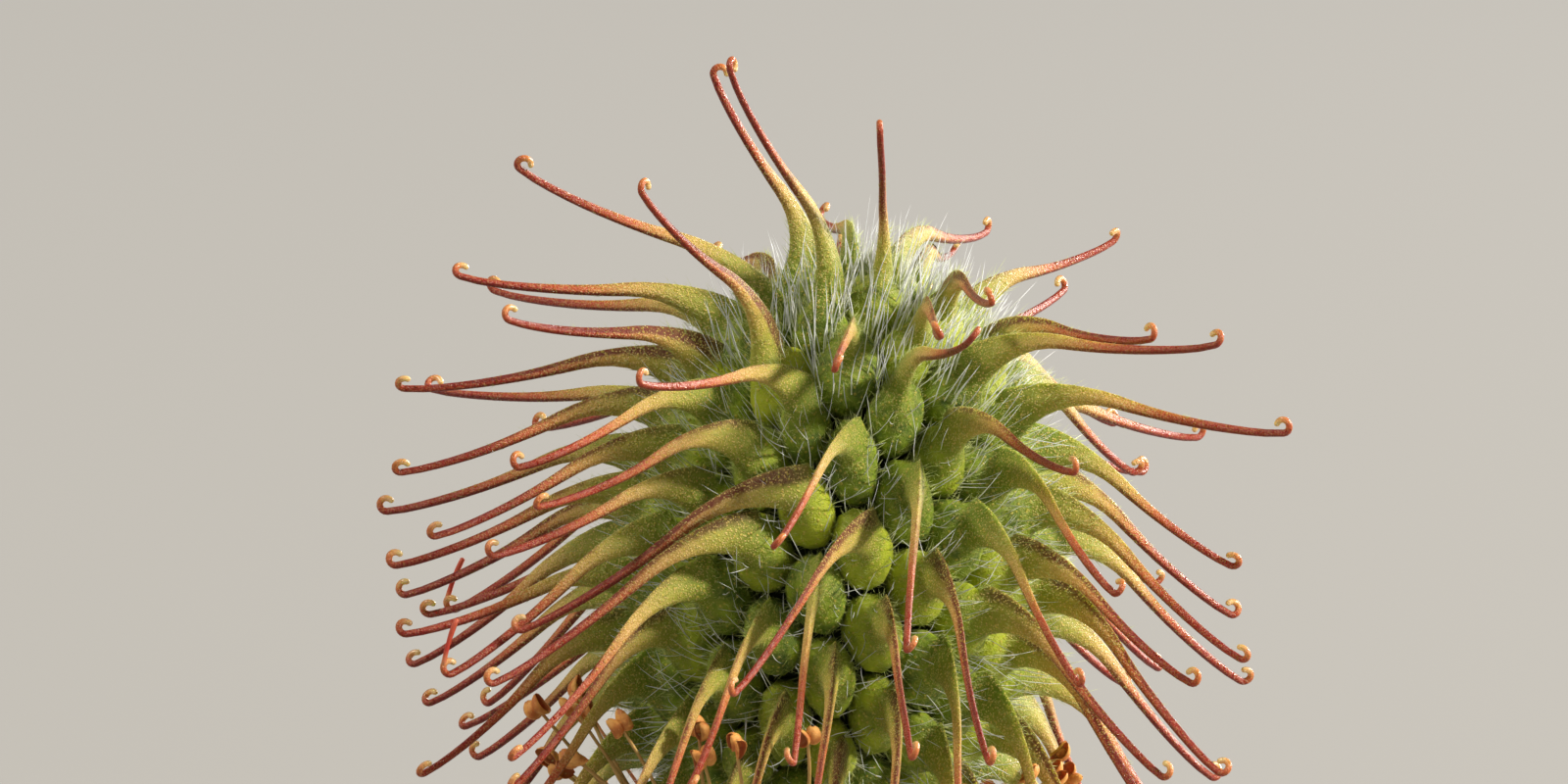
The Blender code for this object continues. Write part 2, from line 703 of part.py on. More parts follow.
def main():
    for thing in list(bpy.data.objects):
        bpy.data.objects.remove(thing)
    achenes = lay_out_achenes()
    achene_head(achenes)
    stamens(achenes)
    calyx()
    turned("stem", STEM_PROFILE, STEM_SIDES, (0.20, 0.22, 0.08), 0.6, RIB_DEPTH)


main()
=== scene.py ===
# Looks of the hooked seed burr: each achene with its style and hook, the hairs, the stamens,
# the sepals and the stem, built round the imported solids. Metres throughout.
import math
import random

import bmesh
import bpy
import numpy as np
from mathutils import Matrix
from numpy.linalg import norm


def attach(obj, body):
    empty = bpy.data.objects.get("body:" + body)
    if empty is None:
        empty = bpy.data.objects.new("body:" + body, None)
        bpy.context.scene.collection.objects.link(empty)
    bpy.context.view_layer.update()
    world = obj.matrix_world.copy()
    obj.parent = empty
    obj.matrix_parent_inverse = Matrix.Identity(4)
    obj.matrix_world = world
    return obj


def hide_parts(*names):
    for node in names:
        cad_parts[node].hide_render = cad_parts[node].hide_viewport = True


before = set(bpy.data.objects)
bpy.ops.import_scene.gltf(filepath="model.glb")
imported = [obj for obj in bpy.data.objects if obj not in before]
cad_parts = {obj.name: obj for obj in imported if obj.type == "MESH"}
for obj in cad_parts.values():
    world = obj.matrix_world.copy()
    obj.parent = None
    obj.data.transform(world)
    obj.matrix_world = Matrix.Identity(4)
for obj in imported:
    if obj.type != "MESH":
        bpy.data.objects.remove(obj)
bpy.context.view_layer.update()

mm = 0.001
up = np.array([0.0, 0.0, 1.0])
goldenAngle = math.pi * (3 - math.sqrt(5))
print("frame loaded:", sorted(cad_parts))


def unit(vector):
    return vector / norm(vector)


def unitRows(vectors):
    return vectors / np.maximum(norm(vectors, axis=-1, keepdims=True), 1e-12)


def toward(polar, azimuth):  # direction at an angle from the head's axis and one round it
    return np.array([
        math.sin(polar) * math.cos(azimuth),
        math.sin(polar) * math.sin(azimuth),
        math.cos(polar),
    ])


def turns(count):  # angles all the way round
    return 2 * math.pi * np.arange(count) / count


def around(angles, first, second):  # at angles from the first direction toward the second
    return np.cos(angles)[:, None] * first + np.sin(angles)[:, None] * second


def turned(profile, sides, ripples=0.0, waves=0):  # rings of a profile turned about the axis
    angles = turns(sides)
    radii, heights = np.array(profile).T[:, :, None]
    reach = radii + np.reshape(ripples, (-1, 1)) * np.cos(waves * angles)
    heights = np.broadcast_to(heights, reach.shape)
    return np.stack([reach * np.cos(angles), reach * np.sin(angles), heights], axis=-1)


# shader maths

class Value:  # a socket that sums and products can be written with
    def __init__(self, look, socket):
        self.look, self.socket = look, socket

    def __add__(self, other):
        return self.look.maths("ADD", self, other)

    def __sub__(self, other):
        return self.look.maths("SUBTRACT", self, other)

    def __rsub__(self, other):
        return self.look.maths("SUBTRACT", other, self)

    def __mul__(self, other):
        return self.look.maths("MULTIPLY", self, other)

    def __pow__(self, other):
        return self.look.maths("POWER", self, other)

    __radd__ = __add__
    __rmul__ = __mul__


class Look:  # one material, and what its nodes are made with
    def __init__(self, name, **constants):
        self.material = bpy.data.materials.new(name)
        self.material.use_nodes = True
        self.nodes = self.material.node_tree.nodes
        self.links = self.material.node_tree.links
        self.shader = self.nodes["Principled BSDF"]
        for socket, number in constants.items():
            self.shader.inputs[socket.replace("_", " ")].default_value = number
        self.place = self.node("ShaderNodeTexCoord", output="Object")

    def node(self, kind, settings=None, inputs=None, output=0):
        made = self.nodes.new(kind)
        for key, setting in (settings or {}).items():
            if key == "stops":
                self.setStops(made.color_ramp.elements, setting)
            else:
                setattr(made, key, setting)
        for key, fed in (inputs or {}).items():
            self.feed(made.inputs[key], fed)
        return Value(self, made.outputs[output])

    def setStops(self, elements, stops):
        while len(elements) < len(stops):
            elements.new(1.0)
        for element, (position, colour) in zip(elements, stops):
            element.position, element.color = position, tint(colour)

    def feed(self, socket, fed):
        if isinstance(fed, Value):
            self.links.new(fed.socket, socket)
        else:
            socket.default_value = tint(fed) if isinstance(fed, tuple) else fed

    def maths(self, operation, *fed):
        return self.node("ShaderNodeMath", dict(operation=operation), dict(enumerate(fed)))

    def attribute(self, name):
        return self.node("ShaderNodeAttribute", dict(attribute_name=name), output="Fac")

    def noise(self, size, detail=3.0):  # size of its features in metres
        inputs = {"Vector": self.place, "Scale": 1 / size, "Detail": detail}
        return self.node("ShaderNodeTexNoise", None, inputs, "Fac")

    def grains(self, part):  # coarse and fine
        return self.noise(part["mottleSize"], 4), self.noise(part["fineSize"], 3)

    def dots(self, size):  # distance from the nearest of many scattered points, 0 to about 1
        inputs = {"Vector": self.place, "Scale": 1 / size}
        return self.node("ShaderNodeTexVoronoi", None, inputs, "Distance")

    def step(self, fed, start, end):  # smooth step from 0 at start to 1 at end
        inputs = {"Value": fed, "From Min": start, "From Max": end}
        return self.node("ShaderNodeMapRange", dict(interpolation_type="SMOOTHSTEP"), inputs)

    def mix(self, factor, first, second):  # of colours
        inputs = {0: factor, 6: first, 7: second}
        return self.node("ShaderNodeMix", dict(data_type="RGBA"), inputs, 2)

    def ramp(self, fed, *stops):
        return self.node("ShaderNodeValToRGB", dict(stops=stops), {"Fac": fed})

    def bump(self, height, strength, distance):
        inputs = {"Height": height, "Strength": strength, "Distance": distance}
        return self.node("ShaderNodeBump", None, inputs)

    def finish(self, **fed):
        for socket, what in fed.items():
            self.feed(self.shader.inputs[socket.replace("_", " ")], what)
        return self.material


def tint(colour):  # a screen colour, 0 to 255, as the renderer's own numbers
    return (*(((c / 255 + 0.055) / 1.055) ** 2.4 if c > 10 else c / 3295 for c in colour), 1.0)


# meshes

def makePiece(name, points, faces, material, attributes=None, replaced=()):
    mesh = bpy.data.meshes.new(name)
    flat = [np.asarray(group) for group in faces if len(group)]
    sizes = np.concatenate([np.full(len(group), group.shape[1]) for group in flat])
    corners = np.concatenate([group.ravel() for group in flat])
    mesh.vertices.add(len(points))
    mesh.vertices.foreach_set("co", np.asarray(points, dtype=np.float32).ravel())
    mesh.loops.add(len(corners))
    mesh.loops.foreach_set("vertex_index", corners.astype(np.int32))
    mesh.polygons.add(len(sizes))
    starts = np.concatenate([[0], np.cumsum(sizes)[:-1]])
    mesh.polygons.foreach_set("loop_start", starts.astype(np.int32))
    mesh.polygons.foreach_set("use_smooth", np.ones(len(sizes), dtype=bool))
    mesh.update(calc_edges=True)
    for key, numbers in (attributes or {}).items():
        data = mesh.attributes.new(key, "FLOAT", "POINT").data
        data.foreach_set("value", np.asarray(numbers, dtype=np.float32).ravel())
    piece = bpy.data.objects.new(name, mesh)
    bpy.context.scene.collection.objects.link(piece)
    mesh.materials.append(material)
    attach(piece, "root")
    if replaced:
        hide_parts(*replaced)
    print(f"{name}: {int((sizes - 2).sum())} triangles")


def tubeFaces(count, sides):  # of rings of corners, then of a point at each end
    ring = np.arange(count * sides).reshape(count, sides)
    after = np.roll(ring, -1, axis=1)
    quads = np.stack([ring[:-1], after[:-1], after[1:], ring[1:]], axis=-1).reshape(-1, 4)
    point = np.full(sides, count * sides)
    bottom = np.stack([after[0], ring[0], point], axis=1)
    top = np.stack([ring[-1], after[-1], point + 1], axis=1)
    return quads, bottom, top


def joinTubes(tubes, kinds=None, tips=None):  # as points, faces, kinds and shares along
    points, quads, fans, carried, along = [], [], [], [], []
    start = 0
    for number, rings in enumerate(tubes):
        count, sides = rings.shape[:2]
        tube, bottom, top = tubeFaces(count, sides)
        quads.append(tube + start)
        fans += [bottom + start, top + start]
        tip = rings[-1].mean(axis=0) if tips is None else tips[number]
        points += [rings.reshape(-1, 3), [rings[0].mean(axis=0), tip]]
        kind = np.tile(np.broadcast_to(kinds[number] if kinds else 0.0, sides), count)
        carried.append([*kind, kind[0], kind[0]])
        along.append([*np.repeat(np.linspace(0, 1, count), sides), 0.0, 1.0])
        start += count * sides + 2
    faces = [np.concatenate(quads), np.concatenate(fans)]
    return np.concatenate(points), faces, np.concatenate(carried), np.concatenate(along)


def smoothRows(rows, parts):  # Catmull-Rom through rows of points, parts steps to each stretch
    padded = np.concatenate([2 * rows[:1] - rows[1:2], rows, 2 * rows[-1:] - rows[-2:-1]])
    made = []
    for k in range(len(rows) - 1):
        a, b, c, d = padded[k:k + 4]
        for t in np.arange(parts) / parts:
            made.append(0.5 * (
                2 * b + (c - a) * t + (2 * a - 5 * b + 4 * c - d) * t**2
                + (3 * b - a - 3 * c + d) * t**3
            ))
    return np.array([*made, rows[-1]])


allHairs = dict(
    taper=0.8,  # of a hair's thickness, lost toward its tip
    above=0.02 * mm,  # the floor
)


def growHairs(name, material, roots, ways, bends, lengths, radii, steps):  # three-sided
    count = len(roots)
    side = unitRows(np.cross(ways, bends + 1e-6))
    other = np.cross(ways, side)
    shares = np.linspace(0, 1, steps + 1)[None, :, None]
    middles = roots[:, None] + lengths[:, None, None] * (
        shares * ways[:, None] + shares**2 * bends[:, None]
    )
    angles = turns(3)[:, None]
    spokes = np.cos(angles) * side[:, None] + np.sin(angles) * other[:, None]
    widths = np.reshape(radii, (-1, 1)) * (1 - allHairs["taper"] * shares[0, :-1, 0] ** 1.5)
    rings = middles[:, :-1, None] + widths[:, :, None, None] * spokes[:, None]
    points = np.concatenate([rings.reshape(count, steps * 3, 3), middles[:, -1:]], axis=1)
    quads, _, top = tubeFaces(steps, 3)
    starts = np.arange(count)[:, None, None] * (steps * 3 + 1)
    faces = [(quads + starts).reshape(-1, 4), (top - (0, 0, 1) + starts).reshape(-1, 3)]
    along = np.concatenate([np.repeat(shares[0, :-1, 0], 3), [1.0]])
    points = points.reshape(-1, 3)
    points[:, 2] = np.maximum(points[:, 2], allHairs["above"])
    makePiece(name, points, faces, material, dict(along=np.tile(along, count)))


# where the achenes and their styles are

head = dict(
    count=130,  # achenes, on a golden-angle spiral from the apex down
    radius=3.85 * mm,  # out to the achenes' shoulders
    halfHeight=6.0 * mm,
    centre=np.array([0.0, 0.0, 9.3 * mm]),
    lowestLevel=-0.88,
)
halfSizes = (head["radius"], head["radius"], head["halfHeight"])

style = dict(
    length=5.45 * mm,
    lengthSpread=0.08,
    swing=math.radians(7),
    rootRise=0.38 * mm,
    rootShift=0.29 * mm,
    leanLevels=(0.0, 0.067, 0.13, 0.18, 0.24, 0.37, 0.45, 0.59, 0.75, 0.95),
    leanAngles=(30, 42, 66, 78, 96, 111, 119, 127, 134, 139),  # degrees from the head's axis
    slopeShares=(0.0, 0.12, 0.4, 0.9, 1.0),
    slopeAngles=(40, 22, -9, 2, 10),  # degrees above the straight line from root to hook
    shaftShares=(0.0, 0.13, 0.36, 0.66, 1.0),
    thicknessShares=(0.0, 0.06, 0.14, 0.3, 0.6, 1.0),
    thicknesses=(0.62 * mm, 0.52 * mm, 0.42 * mm, 0.28 * mm, 0.19 * mm, 0.145 * mm),
    hookRadius=0.14 * mm,
    hookTurns=(math.radians(200), math.radians(250)),
    hookTwist=math.radians(40),
    hookShares=(0.25, 0.5, 0.75, 1.0),
    tipThickness=0.125 * mm,
    clearance=0.12 * mm,
    lineStart=0.04,  # of the line that is kept clear of others
    linePoints=(34, 5),  # of the shaft and of the hook
    rootPoints=8,  # of those, as near the head as they like
    attempts=60,
    seed=11,
    floorHooks=8,  # the burr stands on
    flatDepth=0.055 * mm,
    floorGap=0.12 * mm,
)

# Styles as the photograph's side shows them, in millimetres from the head's centre, right and
# up: where each leaves its achene, and where its hook is.
photoView = dict(
    lean=math.radians(8.5),
    dip=math.radians(4),
    distance=400 * mm,
    middle=np.array([-1.0, 3.7]) * mm,
    styles=(
        (0.2, 5.3, -2.1, 10.4), (-0.5, 5.9, -2.44, 10.3), (0.0, 4.5, -3.9, 7.9),
        (-1.1, 5.1, -6.4, 8.4), (3.0, 4.9, 5.7, 6.9), (3.2, 4.0, 7.8, 4.8),
        (3.0, 3.1, 9.2, 3.0), (4.0, 2.1, 8.1, 0.3), (4.0, 1.1, 8.3, -1.6),
        (4.0, 0.5, 7.3, -2.1), (3.6, -0.3, 6.7, -4.0), (-1.8, 4.5, -6.6, 5.3),
        (-3.0, 4.0, -9.0, 3.9), (-3.2, 3.7, -8.8, 2.2), (-1.2, 3.3, -6.4, 2.3),
        (-2.6, 2.3, -8.1, 0.9), (-2.2, 1.7, -6.9, 0.5), (-3.2, -0.3, -8.2, -2.5),
        (1.3, 2.9, 0.0, 3.1), (1.2, 1.9, -1.2, 0.7), (1.6, 1.1, 1.5, -1.4),
        (0.2, 0.5, -2.0, -2.3), (0.6, -0.3, -0.8, -3.7), (-0.6, 3.8, -3.9, 4.0),
        (-0.8, 2.6, -6.0, 1.5), (-0.4, 1.5, -6.5, -1.1), (-1.0, 0.5, -6.9, -2.1),
        (2.9, 2.6, 4.9, 2.2), (3.0, 3.1, 6.1, 2.2), (3.2, 0.5, 5.0, -2.1),
        (2.2, 4.8, 2.8, 4.9), (4.2, 1.7, 8.1, -0.7),
    ),
    hooks=(  # whose style starts out of sight
        (0.96, 9.1),
        (-7.6, 6.2), (-6.9, 5.9), (4.7, 5.9), (5.7, 3.2), (6.3, 2.2), (5.9, -2.1),
        (-8.2, 3.9), (-6.0, 3.1), (-9.1, 1.4), (-8.9, 0.3), (-8.7, -0.3), (-7.7, -0.6),
        (-8.7, -1.1), (-8.2, -0.7), (-8.5, -1.7), (-4.0, -2.1), (-7.0, -2.5), (-7.8, -1.9),
        (-7.5, -3.0), (-7.2, -3.6), (-6.5, -3.6), (-6.5, -4.2), (1.6, -3.6), (-2.5, -3.9),
    ),
    matchLimit=3.2 * mm,
    hookWeight=0.6,  # what a hook's place counts for against its root's
    furthestSeen=1.155 * mm,  # of the roots in sight, behind the head's axis
    lengthLimits=(0.86, 1.14),
    crownLevel=0.22,  # above it, styles that aren't seen lie toward the viewer or away
    crownLean=math.radians(97),
    crownTurn=0.8,
    turnAside=math.radians(24),
    shifts=np.array([0.05, 0.5, 0.05]) * mm,  # of a seen style's hook, mostly out of the view
    triesPerShift=15,
)


def acheneDirections():  # the same area of the head for each achene
    levels = np.linspace(1, head["lowestLevel"], 2001)
    widths = np.sqrt(head["radius"]**2 * levels**2 + head["halfHeight"]**2 * (1 - levels**2))
    area = np.concatenate([[0], np.cumsum(widths[1:] + widths[:-1])])
    shares = (np.arange(head["count"]) + 0.5) / head["count"]
    heights = np.interp(shares * area[-1], area, levels)
    angles = np.arange(head["count"]) * goldenAngle
    across = np.sqrt(1 - heights**2)
    return np.stack([across * np.cos(angles), across * np.sin(angles), heights], axis=1)


def headPoint(direction):
    return head["centre"] + direction * halfSizes


def headNormal(direction):
    return unit(direction / halfSizes)


def styleProfile():  # side view of a style whose straight line from root to hook is 1 long
    shares = np.linspace(0, 1, 41)
    slopes = np.radians(np.interp(shares, style["slopeShares"], style["slopeAngles"]))
    middles = (slopes[1:] + slopes[:-1]) / 2
    line = np.concatenate([[0], np.cumsum(np.exp(1j * middles))])
    return shares, line / line[-1], slopes - np.angle(line[-1])


def viewAxes():  # the photograph's directions to the right, up and away, as rows
    dip, lean = photoView["dip"], photoView["lean"]
    high = np.array([0.0, math.sin(dip), math.cos(dip)])
    away = np.array([0.0, math.cos(dip), -math.sin(dip)])
    side = np.array([1.0, 0.0, 0.0])
    return np.array([
        math.cos(lean) * side + math.sin(lean) * high,
        math.cos(lean) * high - math.sin(lean) * side,
        away,
    ])


profileShares, profileLine, profileSlopes = styleProfile()
axes = viewAxes()


class Achene:
    def __init__(self, direction, draw):
        self.place = headPoint(direction)
        self.outward = headNormal(direction)
        self.upward = unit(up - up.dot(self.outward) * self.outward)
        self.root = self.place + self.outward * style["rootRise"] + self.upward * style["rootShift"]
        self.level = (1 - direction[2]) / 2
        self.azimuth = math.atan2(direction[1], direction[0])
        self.lift = 0.0
        self.seen = False
        self.drawStyle(draw)

    def drawStyle(self, draw):
        swing = style["swing"]
        lean = math.radians(np.interp(self.level, style["leanLevels"], style["leanAngles"]))
        polar = max(lean + draw.uniform(-swing, swing), math.radians(5))
        azimuth = self.azimuth + draw.uniform(-swing, swing) / max(math.sin(polar), 0.3)
        spread = style["lengthSpread"]
        length = style["length"] * (1 + draw.uniform(-spread, spread))
        self.end = self.root + length * toward(polar, azimuth)
        self.turn = draw.uniform(*style["hookTurns"])
        self.twist = draw.uniform(-style["hookTwist"], style["hookTwist"])

    def stations(self, shaftShares, hookShares):  # point, tangent, inward normal, thickness
        chord = self.end - self.root
        length = norm(chord)
        along = chord / length
        above = unit(up - up.dot(along) * along)
        beside = np.cross(along, above)
        rows = []
        for share in shaftShares:
            x = np.interp(share, profileShares, profileLine.real)
            y = np.interp(share, profileShares, profileLine.imag)
            slope = np.interp(share, profileShares, profileSlopes)
            tangent = math.cos(slope) * along + math.sin(slope) * above
            normal = math.cos(slope) * above - math.sin(slope) * along
            twist = self.twist * max(0.0, share - 0.5) / 0.5
            inward = math.cos(twist) * normal + math.sin(twist) * beside
            point = self.root + length * (x * along + y * above) + up * self.lift * share**2
            thickness = np.interp(share, style["thicknessShares"], style["thicknesses"])
            rows.append((point, tangent, inward, thickness))
        start, tangent, inward, thickness = rows[-1]
        for share in hookShares:
            angle = self.turn * share
            middle = start + style["hookRadius"] * (
                math.sin(angle) * tangent + (1 - math.cos(angle)) * inward
            )
            rows.append((
                middle,
                math.cos(angle) * tangent + math.sin(angle) * inward,
                math.cos(angle) * inward - math.sin(angle) * tangent,
                thickness + (style["tipThickness"] - thickness) * share,
            ))
        return rows

    def line(self):  # points along the style, with its half thickness at each
        shaft, hook = style["linePoints"]
        shaft, hook = np.linspace(style["lineStart"], 1, shaft), np.linspace(0.25, 1, hook)
        rows = self.stations(shaft, hook)
        return np.array([[*row[0], row[3] / 2] for row in rows])

    def lowest(self):
        rows = self.stations(style["shaftShares"], style["hookShares"])
        return min(corner[2] for row in rows for corner in ringCorners(row))


def ringCorners(row, sides=3):
    point, tangent, inward, thickness = row
    return point + thickness / 2 * around(turns(sides), inward, np.cross(tangent, inward))


def gap(line, others):  # least distance between a line's surface and those of the others
    if not others:
        return math.inf
    rest = np.concatenate(others)
    apart = norm(line[:, None, :3] - rest[None, :, :3], axis=2)
    return float((apart - line[:, None, 3] - rest[None, :, 3]).min())


def aboveHead(line, start):
    offset = (line[start:, :3] - head["centre"]) / halfSizes
    return float((norm(offset, axis=1).min() - 1) * head["radius"])


def seenAt(point):  # where the photograph's view shows a point
    right, high, away = axes @ (point - head["centre"])
    nearness = photoView["distance"] / (photoView["distance"] + away)
    middle = photoView["middle"]
    return middle + (np.array([right, high]) - middle) * nearness


def steer(achene, hook):  # turn a style so that its hook is seen at a place
    distance, middle = photoView["distance"], photoView["middle"]
    shortest, longest = photoView["lengthLimits"]
    length = norm(achene.end - achene.root)
    root = axes @ (achene.root - head["centre"])
    depth = (axes @ (achene.end - achene.root))[2]
    for _ in range(3):
        farness = 1 + (root[2] + depth) / distance
        across = middle + (hook - middle) * farness - (0, style["hookRadius"]) - root[:2]
        flat = min(norm(across), length * longest)
        across *= flat / norm(across)
        reach = min(max(math.hypot(flat, depth), length * shortest), length * longest)
        depth = math.copysign(math.sqrt(max(reach**2 - flat**2, 0.0)), depth)
    achene.end = achene.root + np.array([*across, depth]) @ axes
    achene.seen = True


def give(achenes, pairs):  # each seen hook to the nearest style that has none yet
    given = set()
    for off, number, index, hook in sorted(pairs, key=lambda pair: pair[:3]):
        if off < photoView["matchLimit"] and number not in given and not achenes[index].seen:
            steer(achenes[index], hook)
            given.add(number)


def turnAside(achene, share=1.0):  # off the outline, toward the viewer or away
    chord = achene.end - achene.root
    length = norm(chord)
    polar = math.acos(chord[2] / length)
    azimuth = math.atan2(chord[1], chord[0])
    side = math.copysign(math.pi / 2, azimuth)
    if achene.level < photoView["crownLevel"]:
        polar += photoView["crownTurn"] * share * (photoView["crownLean"] - polar)
        azimuth += photoView["crownTurn"] * share * (side - azimuth)
    else:
        turn = photoView["turnAside"] * share * abs(math.cos(azimuth))
        azimuth += math.copysign(turn, side - azimuth)
    achene.end = achene.root + length * toward(polar, azimuth)


def matchToView(achenes):
    pairs = []
    for number, places in enumerate(photoView["styles"]):
        root, hook = np.array(places[:2]) * mm, np.array(places[2:]) * mm
        for index, achene in enumerate(achenes):
            if achene.root[1] < photoView["furthestSeen"]:
                off = norm(seenAt(achene.root) - root)
                off += photoView["hookWeight"] * norm(seenAt(achene.end) - hook)
                pairs.append((off, number, index, hook))
    give(achenes, pairs)
    pairs = []
    for number, place in enumerate(photoView["hooks"]):
        hook = np.array(place) * mm
        for index, achene in enumerate(achenes):
            if not achene.seen:
                off = norm(seenAt(achene.end) - hook)
                pairs.append((off, number, index, hook))
    give(achenes, pairs)
    for achene in achenes:
        if not achene.seen:
            turnAside(achene)


def clearStyles(achenes, draw):  # redraw those that come too near another one or the head
    lines = []
    for achene in sorted(achenes, key=lambda one: not one.seen):
        firstEnd, best = achene.end.copy(), None
        for attempt in range(style["attempts"]):
            line = achene.line()
            above = aboveHead(line, style["rootPoints"])
            room = min(gap(line, lines), above - style["clearance"])
            if best is None or room > best[0]:
                best = (room, achene.end.copy(), achene.turn, achene.twist)
            if room > style["clearance"]:
                break
            if achene.seen:
                shift = photoView["shifts"] * attempt / photoView["triesPerShift"]
                achene.end = firstEnd + shift * [draw.uniform(-1, 1) for _ in range(3)]
                achene.twist = draw.uniform(-style["hookTwist"], style["hookTwist"])
            else:
                achene.drawStyle(draw)
                turnAside(achene, 1 - attempt / style["attempts"])
        _, achene.end, achene.turn, achene.twist = best
        lines.append(achene.line())


def settleOnFloor(achenes):  # the lowest style of each eighth of the head stands on the floor
    low = {}
    for achene in achenes:
        turn = math.atan2(achene.end[1], achene.end[0]) / (2 * math.pi) % 1
        sector = int(turn * style["floorHooks"])
        if sector not in low or achene.lowest() < low[sector].lowest():
            low[sector] = achene
    for achene in achenes:
        height = achene.lowest()
        if any(achene is one for one in low.values()):
            achene.lift = -height - style["flatDepth"]
        elif height < style["floorGap"]:
            achene.lift = style["floorGap"] - height


def layOutAchenes():
    draw = random.Random(style["seed"])
    achenes = [Achene(direction, draw) for direction in acheneDirections()]
    matchToView(achenes)
    clearStyles(achenes, draw)
    settleOnFloor(achenes)
    return achenes


achenes = layOutAchenes()
print("achenes laid out:", len(achenes), "of which seen in the photograph:",
      sum(achene.seen for achene in achenes))


# achenes

achenePiece = dict(
    sides=16,
    sizes=(0.96, 1.0),
    wobble=0.03,  # of the body's outline
    bodyRings=(  # share of the cell's width at that depth, rise, shift up the head
        (0.92, -1.60 * mm, 0.0),
        (1.02, -1.00 * mm, 0.0),
        (1.06, -0.60 * mm, 0.0),
        (1.05, -0.32 * mm, 0.0),
        (0.96, -0.04 * mm, 0.02 * mm),
        (0.74, 0.17 * mm, 0.08 * mm),
    ),
    ringsPerStretch=2,
    roundness=5,  # of the cells' corners, lower is rounder
    flatness=2.4,  # of each ring, higher follows the head's curve less
    shaftRings=19,
    shaftSpacing=1.15,  # above 1, closer together at the foot
    hookRings=11,
    shaftShares=(0.0, 0.1, 0.25, 0.5, 1.0),
    depths=(1.50, 1.34, 1.04, 0.92, 1.0),  # of the style against its thickness, at those shares
    widths=(0.80, 0.74, 0.68, 0.72, 0.95),
    ridges=(0.34, 0.42, 0.42, 0.32, 0.05),  # how sharp the ridge along its top is
    narrowing=1.2,  # of the sides beside the ridge
    sway=0.06 * mm,  # of the styles, to one side
    beats=(0.8, 2.2),
    tipRings=((0.28, 0.83), (0.44, 0.48)),  # past the hook's end and round, in its thickness
    seed=3,
    bodyColours=((56, 88, 4), (140, 164, 10)),  # as on a screen, 0 to 255
    ripeColour=(180, 192, 24),
    # painted shade, darkening the low part of each body in the gaps between achenes
    gapShadeColour=(34, 50, 4),
    glandColour=(218, 196, 84),
    # painted glints, on the specks of the style's foot
    paintedGlintColour=(246, 216, 136),
    dustColour=(225, 200, 110),
    # painted highlight, on the grain of the style's sides
    paintedHighlightColour=(255, 216, 160),
    sideColours=(  # along the style, from 0.33 at its foot to 1 at its tip
        (0.33, (116, 138, 20)), (0.39, (162, 160, 52)), (0.45, (198, 156, 72)),
        (0.51, (188, 78, 34)), (0.58, (152, 22, 12)), (0.70, (150, 26, 14)),
        (0.80, (188, 78, 36)), (0.90, (230, 156, 92)), (1.0, (252, 208, 150)),
    ),
    keelAndUndersideShadeColours=(  # and along its ridge, and as painted shade along its underside
        (0.33, (84, 88, 20)), (0.37, (92, 52, 24)), (0.43, (108, 32, 18)),
        (0.52, (116, 14, 10)), (0.64, (126, 20, 12)), (0.74, (160, 54, 24)),
        (0.86, (204, 114, 56)), (1.0, (242, 190, 126)),
    ),
    mottleSize=0.45 * mm,
    fineSize=0.08 * mm,
    grainSize=0.03 * mm,
    glandSize=0.13 * mm,
    speckSize=0.055 * mm,
)


def cellCorners():  # corners between neighbouring achenes, and which of them ring each achene
    directions = [*acheneDirections(), np.array([0.0, 0.0, -1.0])]
    hull = bmesh.new()
    for direction in directions:
        hull.verts.new(direction)
    bmesh.ops.convex_hull(hull, input=hull.verts[:])
    hull.verts.index_update()
    hull.faces.index_update()
    corners = [unit(np.sum([v.co for v in face.verts], axis=0)) for face in hull.faces]
    rings = [[face.index for face in vertex.link_faces] for vertex in hull.verts]
    hull.free()
    return corners, rings


def cellOutline(achene, corners, first, second, angles):  # distance to the cell's edge
    offsets = np.array([headPoint(corner) - achene.place for corner in corners])
    flat = np.stack([offsets @ first, offsets @ second], axis=1)
    flat = flat[np.argsort(np.arctan2(flat[:, 1], flat[:, 0]))]
    edges = np.roll(flat, -1, axis=0) - flat
    normals = unitRows(np.stack([edges[:, 1], -edges[:, 0]], axis=1))
    distances = (normals * flat).sum(axis=1)
    facing = angles[:, None] - np.arctan2(normals[:, 1], normals[:, 0])[None]
    power = achenePiece["roundness"]
    reach = np.maximum(np.cos(facing), 0) / distances[None]
    return (reach**power).sum(axis=1) ** (-1 / power)


def turnOnto(start, end, vector):  # turn a vector as start would be turned on to end
    axis = np.cross(start, end)
    cosine = start.dot(end)
    return vector * cosine + np.cross(axis, vector) + axis * axis.dot(vector) / (1 + cosine)


